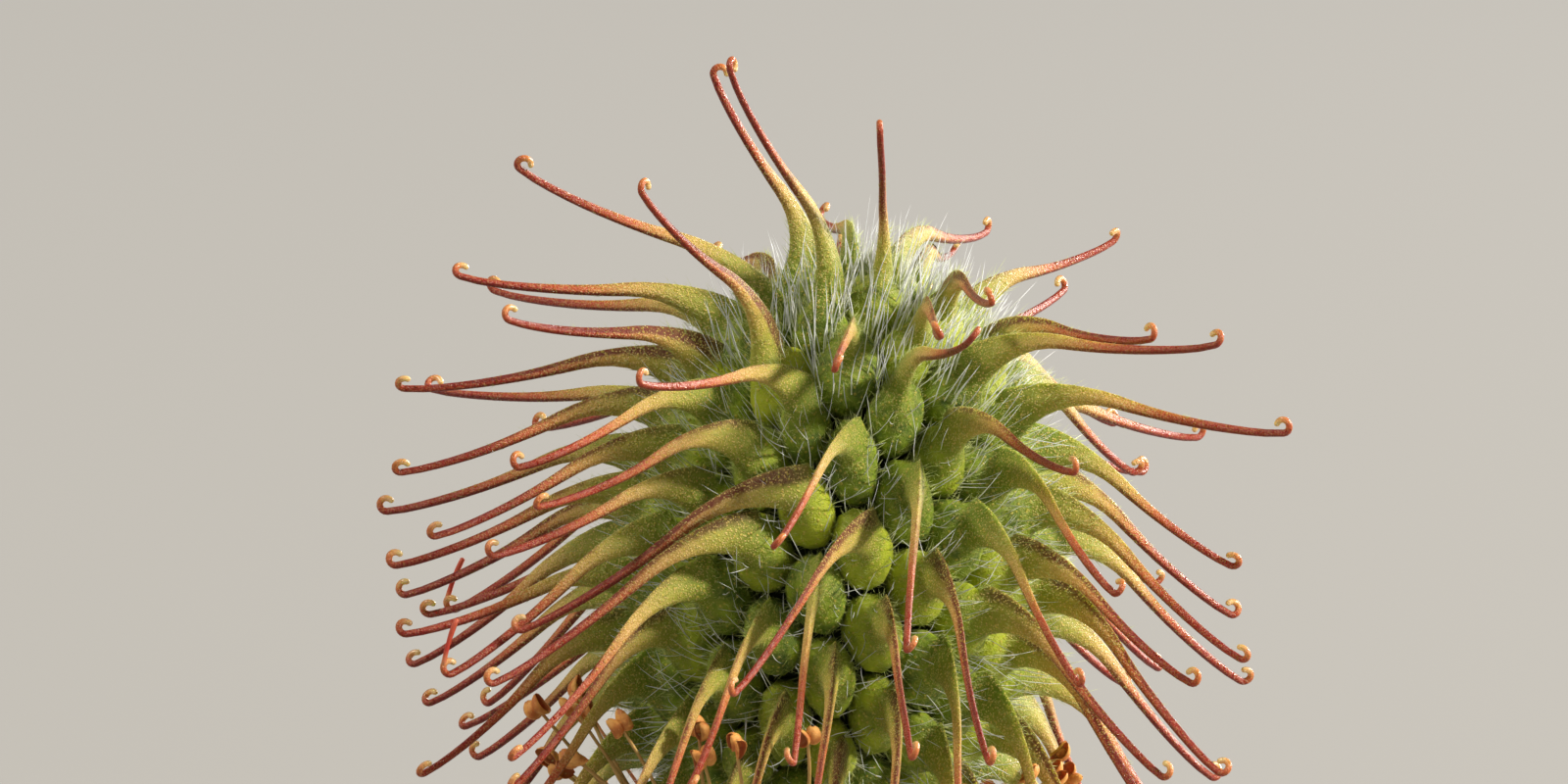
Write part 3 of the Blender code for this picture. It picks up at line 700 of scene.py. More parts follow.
def acheneRings(achene, corners, draw):  # with how far along each is, and the end of the hook
    part = achenePiece
    angles = turns(part["sides"])
    shaft = np.linspace(0, 1, part["shaftRings"]) ** part["shaftSpacing"]
    hook = np.linspace(0, 1, part["hookRings"] + 1)[1:]
    rows = achene.stations(shaft, hook)
    first = turnOnto(rows[0][1], achene.outward, rows[0][2])
    second = np.cross(achene.outward, first)
    outline = cellOutline(achene, corners, first, second, angles)
    outline *= 1 + part["wobble"] * np.sin(3 * angles + draw.uniform(0, 6))
    size = draw.uniform(*part["sizes"])
    keys = []
    for share, rise, shift in part["bodyRings"]:
        reach = outline * share * size * (1 + rise / head["radius"])
        sink = reach**2 / (part["flatness"] * head["radius"])
        ring = achene.place + reach[:, None] * around(angles, first, second)
        keys.append(ring + shift * achene.upward + (rise * size - sink)[:, None] * achene.outward)
    styleRings = []
    sway, beat = draw.uniform(-1, 1) * part["sway"], draw.uniform(*part["beats"])
    top = np.maximum(np.cos(angles), 0)
    for number, (point, tangent, inward, thickness) in enumerate(rows):
        share = shaft[number] if number < len(shaft) else 1.0
        beside = np.cross(tangent, inward)
        point = point + beside * sway * (
            math.sin(math.pi * share) * math.sin(beat * math.pi * share + 0.5)
        )
        shapes = [part[key] for key in ("depths", "widths", "ridges")]
        deep, wide, ridge = (np.interp(share, part["shaftShares"], shape) for shape in shapes)
        rise = deep * np.cos(angles) * (1 + ridge * top**4)
        across = wide * np.sin(angles) * (1 - part["narrowing"] * ridge * top)
        styleRings.append(point + thickness / 2 * (
            rise[:, None] * inward + across[:, None] * beside
        ))
    for ahead, share in part["tipRings"]:
        spokes = thickness / 2 * share * around(angles, inward, beside)
        styleRings.append(point + thickness * ahead * tangent + spokes)
    body = smoothRows(np.array(keys + styleRings[:2]), part["ringsPerStretch"])
    body = body[:-1 - part["ringsPerStretch"]]
    reach = np.concatenate([
        np.linspace(0, 1, len(body), endpoint=False), 1 + shaft, 2 + hook, [3.0, 3.0],
    ])
    return np.concatenate([body, styleRings]), reach, point + tangent * thickness * 0.5


def buildAchenes():
    corners, cells = cellCorners()
    draw = random.Random(achenePiece["seed"])
    tubes, tips, tones = [], [], []
    for achene, cell in zip(achenes, cells):
        rings, reach, tip = acheneRings(achene, [corners[index] for index in cell], draw)
        tubes.append(rings)
        tips.append(tip)
        tones.append(draw.random())
    points, faces, _, _ = joinTubes(tubes, tips=tips)
    points[:, 2] = np.maximum(points[:, 2], 0.0)
    sides, count = achenePiece["sides"], len(achenes)
    attributes = dict(
        reach=np.tile([*np.repeat(reach, sides), 0.0, 3.0], count),  # 1 at the style, 2 at its hook
        upper=np.tile([*np.tile(np.cos(turns(sides)), len(reach)), 0.0, 0.0], count),
        tone=np.repeat(tones, len(reach) * sides + 2),
    )
    makePiece("achenes", points, faces, acheneLook(), attributes, ["achene_head"])
    return np.array(tubes), reach


def acheneLook():
    part = achenePiece
    look = Look("acheneSkin", Subsurface_Weight=0.30, Subsurface_Scale=0.35 * mm,
                Subsurface_Radius=(0.7, 1.0, 0.2), Specular_IOR_Level=0.5, Sheen_Weight=0.04,
                Sheen_Roughness=0.4, Coat_Roughness=0.2)
    reach, upper, tone = (look.attribute(name) for name in ("reach", "upper", "tone"))
    mottle, fine = look.grains(part)
    glands = look.step(look.dots(part["glandSize"]), 0.30, 0.16)
    specks = look.step(look.dots(part["speckSize"]), 0.42, 0.18)
    body = look.mix(look.step(mottle, 0.25, 0.75), *part["bodyColours"])
    body = look.mix(look.step(tone + mottle * 0.5, 0.6, 1.4), body, part["ripeColour"])
    # painted shade: the low part of each body, deep in the gaps between achenes, darkened
    body = look.mix(look.step(reach, 0.60, 0.25) * 0.8, body, part["gapShadeColour"])
    place = (reach + (tone - 0.5) * 0.2) * (1 / 3)
    # keel holds the ridge's own colours, which also serve as painted shade on the underside
    sides, keel = (look.ramp(place, *part[key]) for key in ("sideColours", "keelAndUndersideShadeColours"))
    start = 1.05 - tone**3 * 0.9  # on some achenes the dark of the ridge runs far down the sides
    ridge = look.step(upper + (mottle - 0.5) * 0.7, start - 0.25, start + 0.2)
    # painted shade: the style's downward faces take the dark colours of its ridge
    under = look.step(upper, -0.05, -0.6) * look.step(reach, 1.2, 1.5)
    shaft = look.mix(ridge * 0.95 + under * 0.95, sides, keel)
    skin = look.mix(look.step(reach + (fine - 0.5) * 0.12, 0.86, 1.06), body, shaft)
    golden = glands * look.step(reach, 0.35, 0.6) * look.step(reach, 1.8, 1.2)
    skin = look.mix(golden * 0.55, skin, part["glandColour"])
    outer = look.step(reach, 1.3, 1.7)  # the red half of the style
    # painted glints: pale specks on the style's foot, which are also glossier and raised
    sparkle = specks * look.step(reach, 0.8, 1.1) * (1 - outer * 0.88)
    skin = look.mix(sparkle * 0.75, skin, part["paintedGlintColour"])
    dusty = look.step(fine, 0.35, 0.75) * (1 - outer * 0.8)
    skin = look.mix(dusty * 0.15, skin, part["dustColour"])
    grain = look.noise(part["grainSize"], 2)
    # painted highlight: pale grain on the style's sides, off its ridge and underside
    paintedHighlight = look.step(grain, 0.47, 0.64) * look.step(reach, 1.05, 1.4) * (1 - ridge) * (1 - under)
    skin = look.mix(paintedHighlight * (1 - outer * 0.65) * 0.6, skin, part["paintedHighlightColour"])
    rough = 0.60 - glands * 0.2 - sparkle * 0.2 - look.step(reach, 1.2, 1.8) * 0.28
    height = fine * 0.6 + grain * 0.5 + glands * 0.5 + sparkle * 0.6 + mottle * 0.5
    return look.finish(
        Base_Color=skin, Roughness=rough, Coat_Weight=look.step(reach, 2.2, 2.9) * 0.7,
        Normal=look.bump(height, 0.7, 0.07 * mm),
    )


headRings, headReach = buildAchenes()


# hairs of the achenes

hairs = dict(
    crownLevel=0.16,  # above it is the crown, 0 at the head's top and 1 at its bottom
    depth=0.03 * mm,  # of their roots
    radii=(0.8, 1.2),  # times the radius
    rising=0.12,  # how far their ends bend up
    bristles=dict(
        number=20,  # on each achene
        lengths=(0.55 * mm, 1.15 * mm),
        radius=0.0120 * mm,
        reaches=(0.60, 0.98),  # where they grow, 1 where the style starts
        lean=0.0,  # toward the style's end
        rise=0.25,  # up the head
        spread=0.32,
        waves=0.1,
        steps=3,
        seed=21,
        crown=dict(number=1.8, length=1.15, radius=1.5, rise=1.1),  # times those, and its rise
    ),
    fuzz=dict(
        number=440, lengths=(0.10 * mm, 0.32 * mm), radius=0.0062 * mm, reaches=(0.45, 1.25),
        lean=0.15, rise=0.0, spread=0.2, waves=0.3, steps=1, seed=22,
    ),
    styleHairs=dict(
        number=90, lengths=(0.06 * mm, 0.15 * mm), radius=0.0045 * mm, reaches=(1.1, 1.75),
        lean=0.5, rise=0.0, spread=0.2, waves=0.2, steps=1, seed=23,
    ),
)


def skinPoints(tubes, which, ring, corner):  # of tubes of rings: points, normals, ways along
    sides = tubes.shape[2]
    i, j = ring.astype(int), corner.astype(int) % sides
    u, v = (ring - i)[:, None], (corner - np.floor(corner))[:, None]
    after = (j + 1) % sides
    a, b = tubes[which, i, j], tubes[which, i + 1, j]
    c, d = tubes[which, i, after], tubes[which, i + 1, after]
    point = (a * (1 - u) + b * u) * (1 - v) + (c * (1 - u) + d * u) * v
    along = unitRows((b - a) * (1 - v) + (d - c) * v)
    across = unitRows((c - a) * (1 - u) + (d - b) * u)
    return point, unitRows(np.cross(across, along)), along


def growOnAchenes(name, look):
    kind = hairs[name]
    crown = kind.get("crown", dict(number=1, length=1, radius=1, rise=kind["rise"]))
    draw = np.random.default_rng(kind["seed"])
    onCrown = np.array([achene.level < hairs["crownLevel"] for achene in achenes])
    counts = np.where(onCrown, kind["number"] * crown["number"], kind["number"])
    which = np.repeat(np.arange(len(achenes)), counts.astype(int))
    total, onCrown = len(which), onCrown[which]
    reach = draw.uniform(*kind["reaches"], total)
    ring = np.interp(reach, headReach, np.arange(len(headReach)))
    ring = np.minimum(ring, len(headReach) - 1.001)
    corner = draw.uniform(0, headRings.shape[2], total)
    points, normals, along = skinPoints(headRings, which, ring, corner)
    outward = np.array([achene.outward for achene in achenes])[which]
    ways = normals * 0.5 + outward + kind["lean"] * along
    ways += draw.normal(0, kind["spread"], (total, 3))
    ways += np.where(onCrown, crown["rise"], kind["rise"])[:, None] * up
    ways = unitRows(ways)
    length = draw.uniform(*kind["lengths"], total) * np.where(onCrown, crown["length"], 1)
    radii = kind["radius"] * draw.uniform(*hairs["radii"], total)
    radii *= np.where(onCrown, crown["radius"], 1)
    bends = draw.normal(0, kind["waves"], (total, 3)) + hairs["rising"] * up
    roots = points - ways * hairs["depth"]
    growHairs(name, look, roots, ways, bends, length, radii, kind["steps"])


def hairLook(name, first, second, foot, solid):
    look = Look(name, Specular_IOR_Level=0.6, Roughness=0.38)
    along = look.attribute("along")
    colour = look.mix(look.noise(1.2 * mm, 2), first, second)
    return look.finish(
        Base_Color=look.mix(look.step(along, 0.5, 0.0) * 0.6, colour, foot),
        Alpha=solid - along * 0.15,
    )


whiteHair = hairLook("whiteHair", (252, 252, 246), (222, 232, 246), (206, 212, 150), 1.0)
greenHair = hairLook("greenHair", (226, 234, 150), (194, 212, 110), (140, 170, 50), 0.9)

growOnAchenes("bristles", whiteHair)
growOnAchenes("fuzz", greenHair)
growOnAchenes("styleHairs", greenHair)
print("achenes' hairs grown")


# the upper joint that a few styles still have on their hook

upperJoints = dict(
    hooks=((-7.7, -0.6), (-7.8, -1.9)),  # as the photograph's side shows them
    farHooks=2,  # and as many of those that reach farthest from the viewer
    length=1.0 * mm,
    rings=10,
    sides=6,
    thicknesses=(0.120 * mm, 0.110 * mm, 0.095 * mm, 0.115 * mm, 0.105 * mm),
    tilt=0.08,  # off upright
    bend=0.015,
    tip=0.02 * mm,
    seed=8,
    colours=((0.0, (222, 150, 100)), (0.35, (186, 54, 40)), (1.0, (204, 96, 66))),
)


def buildUpperJoints():
    part = upperJoints
    chosen = list(np.argsort([achene.end[1] for achene in achenes])[-part["farHooks"]:])
    for hook in part["hooks"]:
        off = [norm(seenAt(achene.end) - np.array(hook) * mm) for achene in achenes]
        chosen.append(int(np.argmin(off)))
    draw = random.Random(part["seed"])
    tubes, tips = [], []
    for index in chosen:
        point, tangent, inward, _ = achenes[index].stations(style["shaftShares"], (0.5,))[-1]
        way = unit(up + part["tilt"] * np.array([draw.uniform(-1, 1) for _ in range(3)]))
        rings = []
        for share in np.linspace(0, 1, part["rings"]):
            way = unit(way + part["bend"] * inward)
            size = np.interp(share, np.linspace(0, 1, 5), part["thicknesses"])
            middle = point + way * part["length"] * share
            row = (middle, way, unit(np.cross(way, tangent)), size)
            rings.append(ringCorners(row, part["sides"]))
        tubes.append(np.array(rings))
        tips.append(middle + way * part["tip"])
    points, faces, _, along = joinTubes(tubes, tips=tips)
    look = Look("upperJoint", Roughness=0.5, Subsurface_Weight=0.1, Subsurface_Scale=0.3 * mm)
    place = look.attribute("along") + (look.noise(0.2 * mm) - 0.5) * 0.3
    look.finish(Base_Color=look.ramp(place, *part["colours"]))
    makePiece("upperJoints", points, faces, look.material, dict(along=along))


buildUpperJoints()


# the dry stamens and their disc

stamenPiece = dict(
    number=46,
    discRadii=(0.7 * mm, 1.28 * mm),
    discHeights=(3.38 * mm, 3.62 * mm),
    discEdge=0.06 * mm,
    discSides=80,
    scallop=0.035,
    lengths=(3.4 * mm, 5.0 * mm),
    thickness=0.15 * mm,
    steps=12,
    firstPolars=(math.radians(78), math.radians(100)),  # from the head's axis, at the disc
    lastPolars=(math.radians(42), math.radians(82)),
    raised=math.radians(35),  # steeper than that, on the first try
    bending=1.5,  # above 1, done before the anther
    drift=math.radians(30),
    tries=60,
    footSteps=3,  # that may cross those of other filaments
    gap=0.04 * mm,
    styleGap=0.08 * mm,
    headGap=0.34 * mm,
    antherLength=0.55 * mm,
    antherWidth=0.50 * mm,
    sides=8,
    ends=(0.80, 0.46),  # of the filament's thickness, at its foot and at its anther
    flatFoot=0.65,  # of its width, at its foot
    ripple=0.055 * mm,
    ripples=9,
    lobeRings=11,
    lobeSides=8,  # on the outside of a lobe, and as many on its inside
    lobeRadius=0.155 * mm,
    lobeLength=0.50 * mm,
    lobeApart=0.135 * mm,
    lobeShell=0.03 * mm,
    lobeArcs=(math.radians(95), math.radians(135)),  # half of the way round that is closed
    mouths=(-0.3, 1.6),  # which way the split faces, from outward to the front
    blunt=0.12,  # of a lobe's thickness, at its ends
    lobeSizes=(0.8, 1.15),
    lobeLengths=(0.85, 1.15),
    curl=0.12 * mm,
    curls=(0.3, 1.0),
    seeds=(5, 6),  # of the filaments and of their shapes
    mottleSize=0.25 * mm,
    fineSize=0.05 * mm,
    threadColours=((150, 112, 58), (204, 168, 100)),
    redThread=(168, 84, 54),
    pouchColours=((196, 114, 50), (240, 172, 90)),
    pouchDust=(250, 208, 130),
    pouchInside=(150, 76, 34),
)


def filamentLine(root, azimuth, draw, raised):
    part = stamenPiece
    length = draw.uniform(*part["lengths"])
    start = draw.uniform(*part["firstPolars"])
    end = draw.uniform(*part["lastPolars"]) - part["raised"] * raised
    drift = draw.uniform(-part["drift"], part["drift"])
    points = [root]
    for step in range(part["steps"]):
        share = (step + 0.5) / part["steps"]
        polar = start + (end - start) * min(1.0, part["bending"] * share)
        way = toward(polar, azimuth + drift * share)
        points.append(points[-1] + length / part["steps"] * way)
    return np.array(points)


def clearFilament(root, azimuth, draw, styleLines, taken):
    part = stamenPiece
    for attempt in range(part["tries"]):
        points = filamentLine(root, azimuth, draw, 1 - attempt / part["tries"])
        tip = points[-1] + unit(points[-1] - points[-2]) * part["antherLength"]
        sizes = np.full(len(points) + 1, part["thickness"] / 2)
        sizes[-3:] = part["antherWidth"] * 0.6
        line = np.column_stack([np.vstack([points, tip]), sizes])
        free = line[part["footSteps"]:]
        clear = gap(free, styleLines) > part["styleGap"]
        clear = clear and aboveHead(line, part["footSteps"] - 1) > part["headGap"]
        if clear and gap(free, [other[part["footSteps"]:] for other in taken]) > part["gap"]:
            return line
    return None


def filamentRings(line, draw):
    part = stamenPiece
    points = smoothRows(line[:-1, :3], 2)
    shares = np.linspace(0, 1, len(points))
    ways = unitRows(np.gradient(points, axis=0))
    beside = unitRows(np.cross(ways, up))
    above = np.cross(beside, ways)
    ripple = np.sin(part["ripples"] * shares + draw.uniform(0, 6)) * 4 * shares * (1 - shares)
    points = points + part["ripple"] * ripple[:, None] * beside
    sizes = part["thickness"] / 2 * np.interp(shares, (0, 1), part["ends"])
    flat = np.interp(shares, (0, 1), (part["flatFoot"], 1.0))
    rings = [
        point + size * around(turns(part["sides"]), high * thin, wide)
        for point, size, high, wide, thin in zip(points, sizes, above, beside, flat)
    ]
    return np.array(rings), points[-1], ways[-1], beside[-1], above[-1]


def lobeRings(foot, way, flat, thin, side, draw):  # a dry pouch split open, like a small cup
    part = stamenPiece
    outward = flat * side
    curl = part["curl"] * draw.uniform(*part["curls"])
    size = part["lobeRadius"] * draw.uniform(*part["lobeSizes"])
    length = part["lobeLength"] * draw.uniform(*part["lobeLengths"])
    mouth = draw.uniform(*part["mouths"])
    arc = draw.uniform(*part["lobeArcs"])
    across = mouth + math.pi + np.linspace(-arc, arc, part["lobeSides"])
    across = np.concatenate([across, across[::-1]])
    inside = np.repeat([0.0, 1.0], part["lobeSides"])
    rings = []
    for share in np.linspace(-0.985, 0.985, part["lobeRings"]):
        full = math.sqrt(1 - share**2)
        middle = foot + way * length * (0.25 + 0.5 * share) + outward * part["lobeApart"]
        middle = middle + (outward * 0.5 + thin) * curl * (share**2 - 0.5)
        reach = size * (part["blunt"] + (1 - part["blunt"]) * full)
        reach = reach - part["lobeShell"] * inside * (0.3 + 0.7 * full)
        rings.append(middle + reach[:, None] * around(across, outward, thin))
    rings = np.array(rings)
    return (rings, 1 + inside) if side > 0 else (rings[:, ::-1], 1 + inside[::-1])


def buildStamens():
    part = stamenPiece
    draw, shapes = (random.Random(seed) for seed in part["seeds"])
    styleLines = [achene.line() for achene in achenes]
    bottom, top = part["discHeights"]
    middle = (bottom + top) / 2
    taken, tubes, kinds = [], [], []
    for k in range(part["number"]):
        azimuth = 2 * math.pi * (k + 0.5) / part["number"]
        rim = part["discRadii"][1] * math.cos(math.pi / part["number"])
        root = np.array([rim * math.cos(azimuth), rim * math.sin(azimuth), middle])
        line = clearFilament(root, azimuth, draw, styleLines, taken)
        if line is None:
            continue
        taken.append(line)
        rings, end, way, beside, above = filamentRings(line, shapes)
        spin = draw.uniform(0, math.pi)
        flat = math.cos(spin) * beside + math.sin(spin) * above
        thin = np.cross(way, flat)
        pouches = [lobeRings(end, way, flat, thin, side, shapes) for side in (-1, 1)]
        tubes += [rings, *(pouch for pouch, _ in pouches)]
        kinds += [0.0, *(kind for _, kind in pouches)]
    points, faces, kinds, along = joinTubes([*tubes, discRings()], [*kinds, 0.0])
    makePiece("dryStamens", points, faces, stamenLook(),
              dict(anther=kinds, along=along), ["stamens"])


def discRings():
    part = stamenPiece
    inner, outer = part["discRadii"]
    bottom, top = part["discHeights"]
    edge = part["discEdge"]
    profile = np.array([
        (0.02 * mm, bottom), (inner, bottom), (outer * 0.94, bottom), (outer, bottom + edge),
        (outer, top - edge), (outer * 0.94, top), (inner, top - edge / 2),
        (0.02 * mm, top - edge * 5 / 6),
    ])
    return turned(profile, part["discSides"], part["scallop"] * profile[:, 0], part["number"])


def stamenLook():
    part = stamenPiece
    look = Look("dryStamen", Subsurface_Weight=0.1, Subsurface_Scale=0.3 * mm)
    anther, along = look.attribute("anther"), look.attribute("along")
    mottle, fine = look.grains(part)
    thread = look.mix(along + (mottle - 0.5) * 0.8, *part["threadColours"])
    red = look.step(look.noise(1.6 * mm, 2), 0.55, 0.7) * 0.8
    thread = look.mix(red, thread, part["redThread"])
    pouch = look.mix(look.step(mottle, 0.35, 0.65), *part["pouchColours"])
    pouch = look.mix(look.step(fine, 0.6, 0.75) * 0.6, pouch, part["pouchDust"])
    pouch = look.mix(look.step(anther, 1.1, 1.9) * 0.75, pouch, part["pouchInside"])
    return look.finish(
        Base_Color=look.mix(look.step(anther, 0.3, 0.7), thread, pouch),
        Roughness=0.5 + fine * 0.25, Normal=look.bump(fine + mottle, 0.5, 0.03 * mm),
    )


buildStamens()


# the calyx: sepals bent back, small bractlets between them, and their collar

calyxPiece = dict(
    sepals=5,
    turn=0.25,  # of the first sepal, as a share of the step between two
    sepalLine=((0.9, 2.95), (2.1, 2.85), (2.95, 2.3), (3.4, 1.5), (3.55, 0.7)),  # mm, out and up
    sepalWidths=(1.7 * mm, 2.0 * mm, 1.7 * mm, 1.05 * mm, 0.2 * mm),
    bractletLine=((0.9, 2.94), (1.65, 2.7), (2.3, 2.0), (2.5, 1.25)),
    bractletWidths=(0.6 * mm, 0.7 * mm, 0.5 * mm, 0.15 * mm),
    thickness=0.34 * mm,
    edge=0.09 * mm,
    bulge=2.5,  # higher, as thick almost out to the edges
    tipNarrowing=0.25,
    keel=0.12 * mm,  # how far the edges stand above the middle
    crimp=0.05 * mm,  # of the edges
    crimps=11,
    groove=0.03 * mm,  # along the middle
    grooveWidth=0.14,
    columns=15,
    rowsPerStretch=7,
    collarRadius=1.45 * mm,
    collarHeights=(2.68 * mm, 3.25 * mm),
    collarProfile=(  # shares of its radius and height
        (0.5, 0.0), (0.85, 0.0), (0.96, 0.25), (1.0, 0.5), (0.98, 0.8), (0.92, 1.0), (0.6, 1.0),
    ),
    collarRipple=0.02,
    collarWaves=10,
    collarSides=48,
    hairs=(1500, 0.18 * mm, 0.5 * mm, 0.008 * mm),  # number, lengths, radius
    hairDepth=0.02 * mm,  # of their roots
    hairLean=0.6,  # toward the sepal's tip
    hairSpread=0.2,
    hairWaves=0.12,
    seeds=(9, 31),  # of the sepals and of their hairs
    mottleSize=0.5 * mm,
    fineSize=0.06 * mm,
    leafColours=((82, 100, 40), (140, 150, 74)),
    tipColour=(128, 78, 48),
    veinColour=(168, 170, 100),
    veinScale=260.0,
)


def bladeRings(line, widths, azimuth, draw):
    part = calyxPiece
    rows = smoothRows(np.column_stack([np.array(line) * mm, widths]), part["rowsPerStretch"])
    out = toward(math.pi / 2, azimuth)
    side = np.cross(up, out)
    middles = rows[:, :1] * out + rows[:, 1:2] * up
    ahead = unitRows(np.gradient(middles, axis=0))
    normals = np.cross(ahead, side)[:, None]
    across = np.linspace(-1, 1, part["columns"])
    shares = np.linspace(0, 1, len(rows))[:, None]
    widths = rows[:, 2:] * (1 - part["tipNarrowing"] * shares**12)
    crimp = np.abs(across) ** 3 * np.sin(part["crimps"] * shares + draw.uniform(0, 6) + 2 * across)
    groove = np.exp(-(across / part["grooveWidth"]) ** 2) * (1 - shares)
    lift = part["keel"] * np.abs(across) ** 1.3 + part["crimp"] * crimp - part["groove"] * groove
    middles = middles[:, None] + (across * widths / 2)[:, :, None] * side
    middles = middles + lift[:, :, None] * normals
    half = (part["thickness"] * (1 - np.abs(across) ** part["bulge"]) + part["edge"]) / 2
    half = half[:, None] * normals
    return np.concatenate([middles - half, (middles + half)[:, ::-1]], axis=1)


def buildCalyx():
    part = calyxPiece
    draw, chance = random.Random(part["seeds"][0]), np.random.default_rng(part["seeds"][1])
    step = 2 * math.pi / part["sepals"]
    tubes = []
    for number in range(part["sepals"]):
        azimuth = step * (number + part["turn"])
        tubes.append(bladeRings(part["sepalLine"], part["sepalWidths"], azimuth, draw))
        azimuth += step / 2
        tubes.append(bladeRings(part["bractletLine"], part["bractletWidths"], azimuth, draw))
    sepals, kinds = np.array(tubes[::2]), [0.0, 0.3] * part["sepals"]
    low, high = part["collarHeights"]
    profile = np.array(part["collarProfile"]) * (part["collarRadius"], high - low) + (0, low)
    ripples = part["collarRipple"] * profile[:, 0]
    collar = turned(profile, part["collarSides"], ripples, part["collarWaves"])
    points, faces, kinds, along = joinTubes([*tubes, collar], [*kinds, 1.0])
    makePiece(
        "sepals", points, faces, calyxLook(), dict(kind=kinds, along=along), ["calyx"],
    )
    count, shortest, longest, radius = part["hairs"]
    which = chance.integers(0, len(sepals), count)
    ring = chance.uniform(3, sepals.shape[1] - 1.001, count)
    corner = chance.uniform(0, sepals.shape[2], count)
    roots, normals, ways = skinPoints(sepals, which, ring, corner)
    spread = chance.normal(0, part["hairSpread"], (count, 3))
    ways = unitRows(normals + part["hairLean"] * ways + spread)
    lengths = chance.uniform(shortest, longest, count)
    bends = chance.normal(0, part["hairWaves"], (count, 3))
    roots = roots - ways * part["hairDepth"]
    growHairs("sepalHairs", whiteHair, roots, ways, bends, lengths, radius, 3)


def calyxLook():
    part = calyxPiece
    look = Look("sepalSkin", Subsurface_Weight=0.1, Subsurface_Scale=0.4 * mm)
    along, kind = look.attribute("along"), look.attribute("kind")
    mottle, fine = look.grains(part)
    leaf = look.mix(mottle, *part["leafColours"])
    tips = look.step(along + (mottle - 0.5) * 0.5, 0.55, 1.05) * look.step(kind, 0.6, 0.4)
    leaf = look.mix(tips * 0.8, leaf, part["tipColour"])
    rings = look.node("ShaderNodeTexWave", dict(wave_type="RINGS", rings_direction="Z"), {
        "Vector": look.place, "Scale": part["veinScale"], "Distortion": 3.0, "Detail": 3.0,
    }, "Fac")
    veins = look.step(rings, 0.7, 1.0)
    leaf = look.mix(veins * 0.25, leaf, part["veinColour"])
    return look.finish(
        Base_Color=leaf, Roughness=0.6 + fine * 0.2,
        Normal=look.bump(fine + veins * 0.5 + mottle, 0.5, 0.05 * mm),
    )


buildCalyx()


# the cut stem

stemPiece = dict(
    profile=(  # radius, height
        (0.30 * mm, 0.41 * mm),
        (0.49 * mm, 0.40 * mm),
        (0.52 * mm, 0.43 * mm),
        (0.50 * mm, 1.40 * mm),
        (0.56 * mm, 1.95 * mm),
        (0.88 * mm, 2.40 * mm),
        (0.92 * mm, 2.50 * mm),
    ),
    ribs=8,
    ribDepth=0.04 * mm,
    sides=48,
    hairs=(420, 0.2 * mm, 0.6 * mm, 0.009 * mm),  # number, lengths, radius
    hairDepth=0.02 * mm,  # of their roots
    hairLean=-0.5,  # toward the foot
    hairSpread=0.25,
    hairWaves=0.12,
    seed=41,
    mottleSize=0.4 * mm,
    fineSize=0.05 * mm,
    barkColours=((98, 106, 46), (150, 146, 78)),
    rustColour=(136, 76, 50),
    pithColours=((176, 176, 112), (214, 208, 156)),
)


def buildStem():
    part = stemPiece
    sides = part["sides"]
    profile = np.array(part["profile"])
    profile = np.concatenate([profile[:3], smoothRows(profile[2:], 6)[1:]])
    depths = np.full(len(profile), part["ribDepth"] / 2)
    depths[:2] *= 0.3
    profile[:, 0] -= depths
    rings = turned(profile, sides, depths, part["ribs"])
    points, faces, _, _ = joinTubes([rings])
    cut = np.zeros(len(points))
    cut[:2 * sides], cut[-2] = 1.0, 1.0
    makePiece("cutStem", points, faces, stemLook(), dict(cut=cut), ["stem"])
    count, shortest, longest, radius = part["hairs"]
    chance = np.random.default_rng(part["seed"])
    ring = chance.uniform(3, len(rings) - 1.001, count)
    corner = chance.uniform(0, sides, count)
    roots, normals, ways = skinPoints(rings[None], np.zeros(count, int), ring, corner)
    spread = chance.normal(0, part["hairSpread"], (count, 3))
    ways = unitRows(normals + part["hairLean"] * ways + spread)
    bends = chance.normal(0, part["hairWaves"], (count, 3))
    lengths = chance.uniform(shortest, longest, count)
    roots = roots - ways * part["hairDepth"]
    growHairs("stemHairs", whiteHair, roots, ways, bends, lengths, radius, 3)


def stemLook():
    part = stemPiece
    look = Look("stemSkin", Subsurface_Weight=0.08, Subsurface_Scale=0.4 * mm)
    mottle, fine = look.grains(part)
    bark = look.mix(mottle, *part["barkColours"])
    bark = look.mix(look.step(mottle, 0.5, 0.75) * 0.6, bark, part["rustColour"])
    pith = look.mix(fine, *part["pithColours"])
    return look.finish(
        Base_Color=look.mix(look.attribute("cut"), bark, pith), Roughness=0.55 + fine * 0.2,
        Normal=look.bump(fine + mottle, 0.5, 0.04 * mm),
    )


buildStem()


# the receptacle under the achenes

receptaclePiece = dict(
    depth=1.0 * mm,  # below the achenes' places
    rings=20,
    sides=32,
    stalkRadius=0.9 * mm,
    stalkBottom=2.45 * mm,  # through the disc and the collar, into the stem
    stalkRings=5,
    colours=((34, 48, 14), (62, 76, 26)),
)


def buildReceptacle():
    part = receptaclePiece
    width, _, height = np.array(halfSizes) - part["depth"]
    middle = head["centre"][2]
    profile = [(part["stalkRadius"], part["stalkBottom"])]
    for k in range(part["rings"]):
        polar = math.pi * (1 - (k + 0.5) / part["rings"])
        least = part["stalkRadius"] if k < part["stalkRings"] else 0.0
        profile.append((max(width * math.sin(polar), least), middle + height * math.cos(polar)))
    tips = [np.array([0.0, 0.0, middle + height])]
    points, faces, _, _ = joinTubes([turned(profile, part["sides"])], tips=tips)
    look = Look("receptacle", Roughness=0.8)
    look.finish(Base_Color=look.mix(look.noise(0.5 * mm), *part["colours"]))
    makePiece("receptacle", points, faces, look.material)


buildReceptacle()


# floor, light and camera

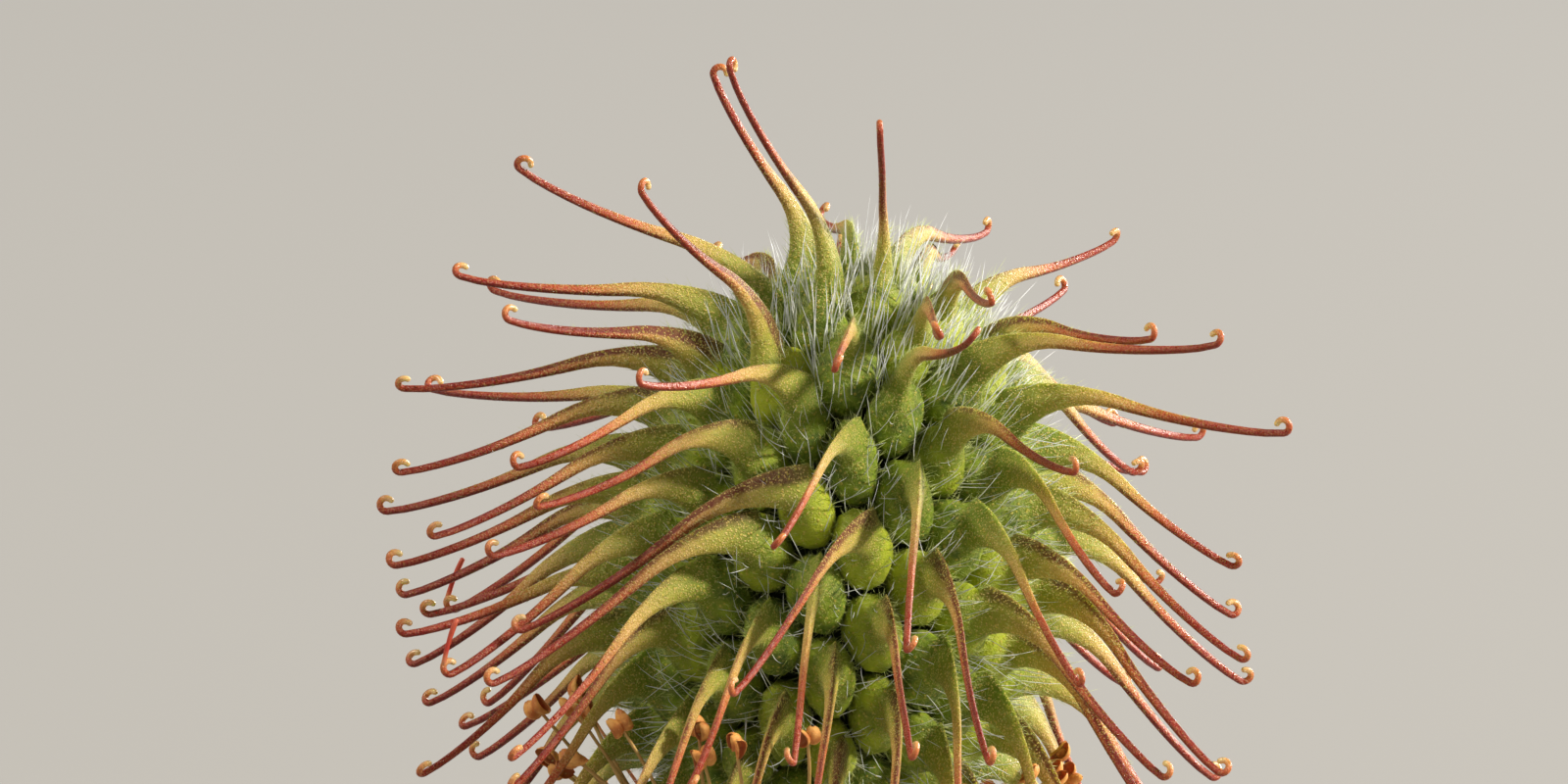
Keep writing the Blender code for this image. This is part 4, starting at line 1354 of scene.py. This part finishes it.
studio = dict(
    floorRadius=2.5,
    floorSides=64,
    floorColour=(0.30, 0.30, 0.295, 1.0),
    worldColour=(0.88, 0.88, 0.90, 1.0),
    worldStrength=0.16,
    lights=(  # name, place, size, watts, colour
        ("key", (1.02, -0.38, 0.84), 0.16, 26.0, (1.0, 0.93, 0.82)),
        ("side", (-0.95, -0.35, 0.90), 0.16, 9.0, (1.0, 0.93, 0.82)),
        ("rim", (0.72, 0.80, 0.46), 0.24, 15.0, (1.0, 0.95, 0.88)),
    ),
    lens=450.0,  # millimetres
    sensor=36.0,
    clip=(1 * mm, 10.0),
)


def buildStudio():
    bpy.ops.mesh.primitive_circle_add(
        vertices=studio["floorSides"], radius=studio["floorRadius"], fill_type="NGON",
    )
    floor = bpy.context.active_object
    floor.name = "floor"
    paper = Look("floorPaper", Roughness=0.85, Base_Color=studio["floorColour"])
    floor.data.materials.append(paper.material)
    scene = bpy.context.scene
    scene.world = bpy.data.worlds.new("studio")
    scene.world.use_nodes = True
    colour, strength = scene.world.node_tree.nodes["Background"].inputs[:2]
    colour.default_value, strength.default_value = studio["worldColour"], studio["worldStrength"]
    scene.view_settings.view_transform = "Standard"
    for name, place, size, watts, colour in studio["lights"]:
        data = bpy.data.lights.new(name, "AREA")
        data.shape, data.size, data.energy, data.color = "DISK", size, watts, colour
        light = bpy.data.objects.new(name, data)
        light.location = place
        away = unit(np.array(place) - head["centre"])
        side = unit(np.cross(up, away))
        aim = Matrix((side, np.cross(away, side), away)).transposed()
        light.rotation_euler = aim.to_euler()
        light.visible_camera = False
        scene.collection.objects.link(light)


def buildCamera():
    data = bpy.data.cameras.new("camera")
    data.sensor_width, data.lens = studio["sensor"], studio["lens"]
    data.clip_start, data.clip_end = studio["clip"]
    camera = bpy.data.objects.new("camera", data)
    bpy.context.scene.collection.objects.link(camera)
    right, high, away = axes
    middle = photoView["middle"]
    place = head["centre"] + middle[0] * right + middle[1] * high - photoView["distance"] * away
    matrix = Matrix((right, high, -away)).transposed().to_4x4()
    matrix.translation = place
    camera.matrix_world = matrix
    bpy.context.scene.camera = camera


buildStudio()
buildCamera()
print("studio set")
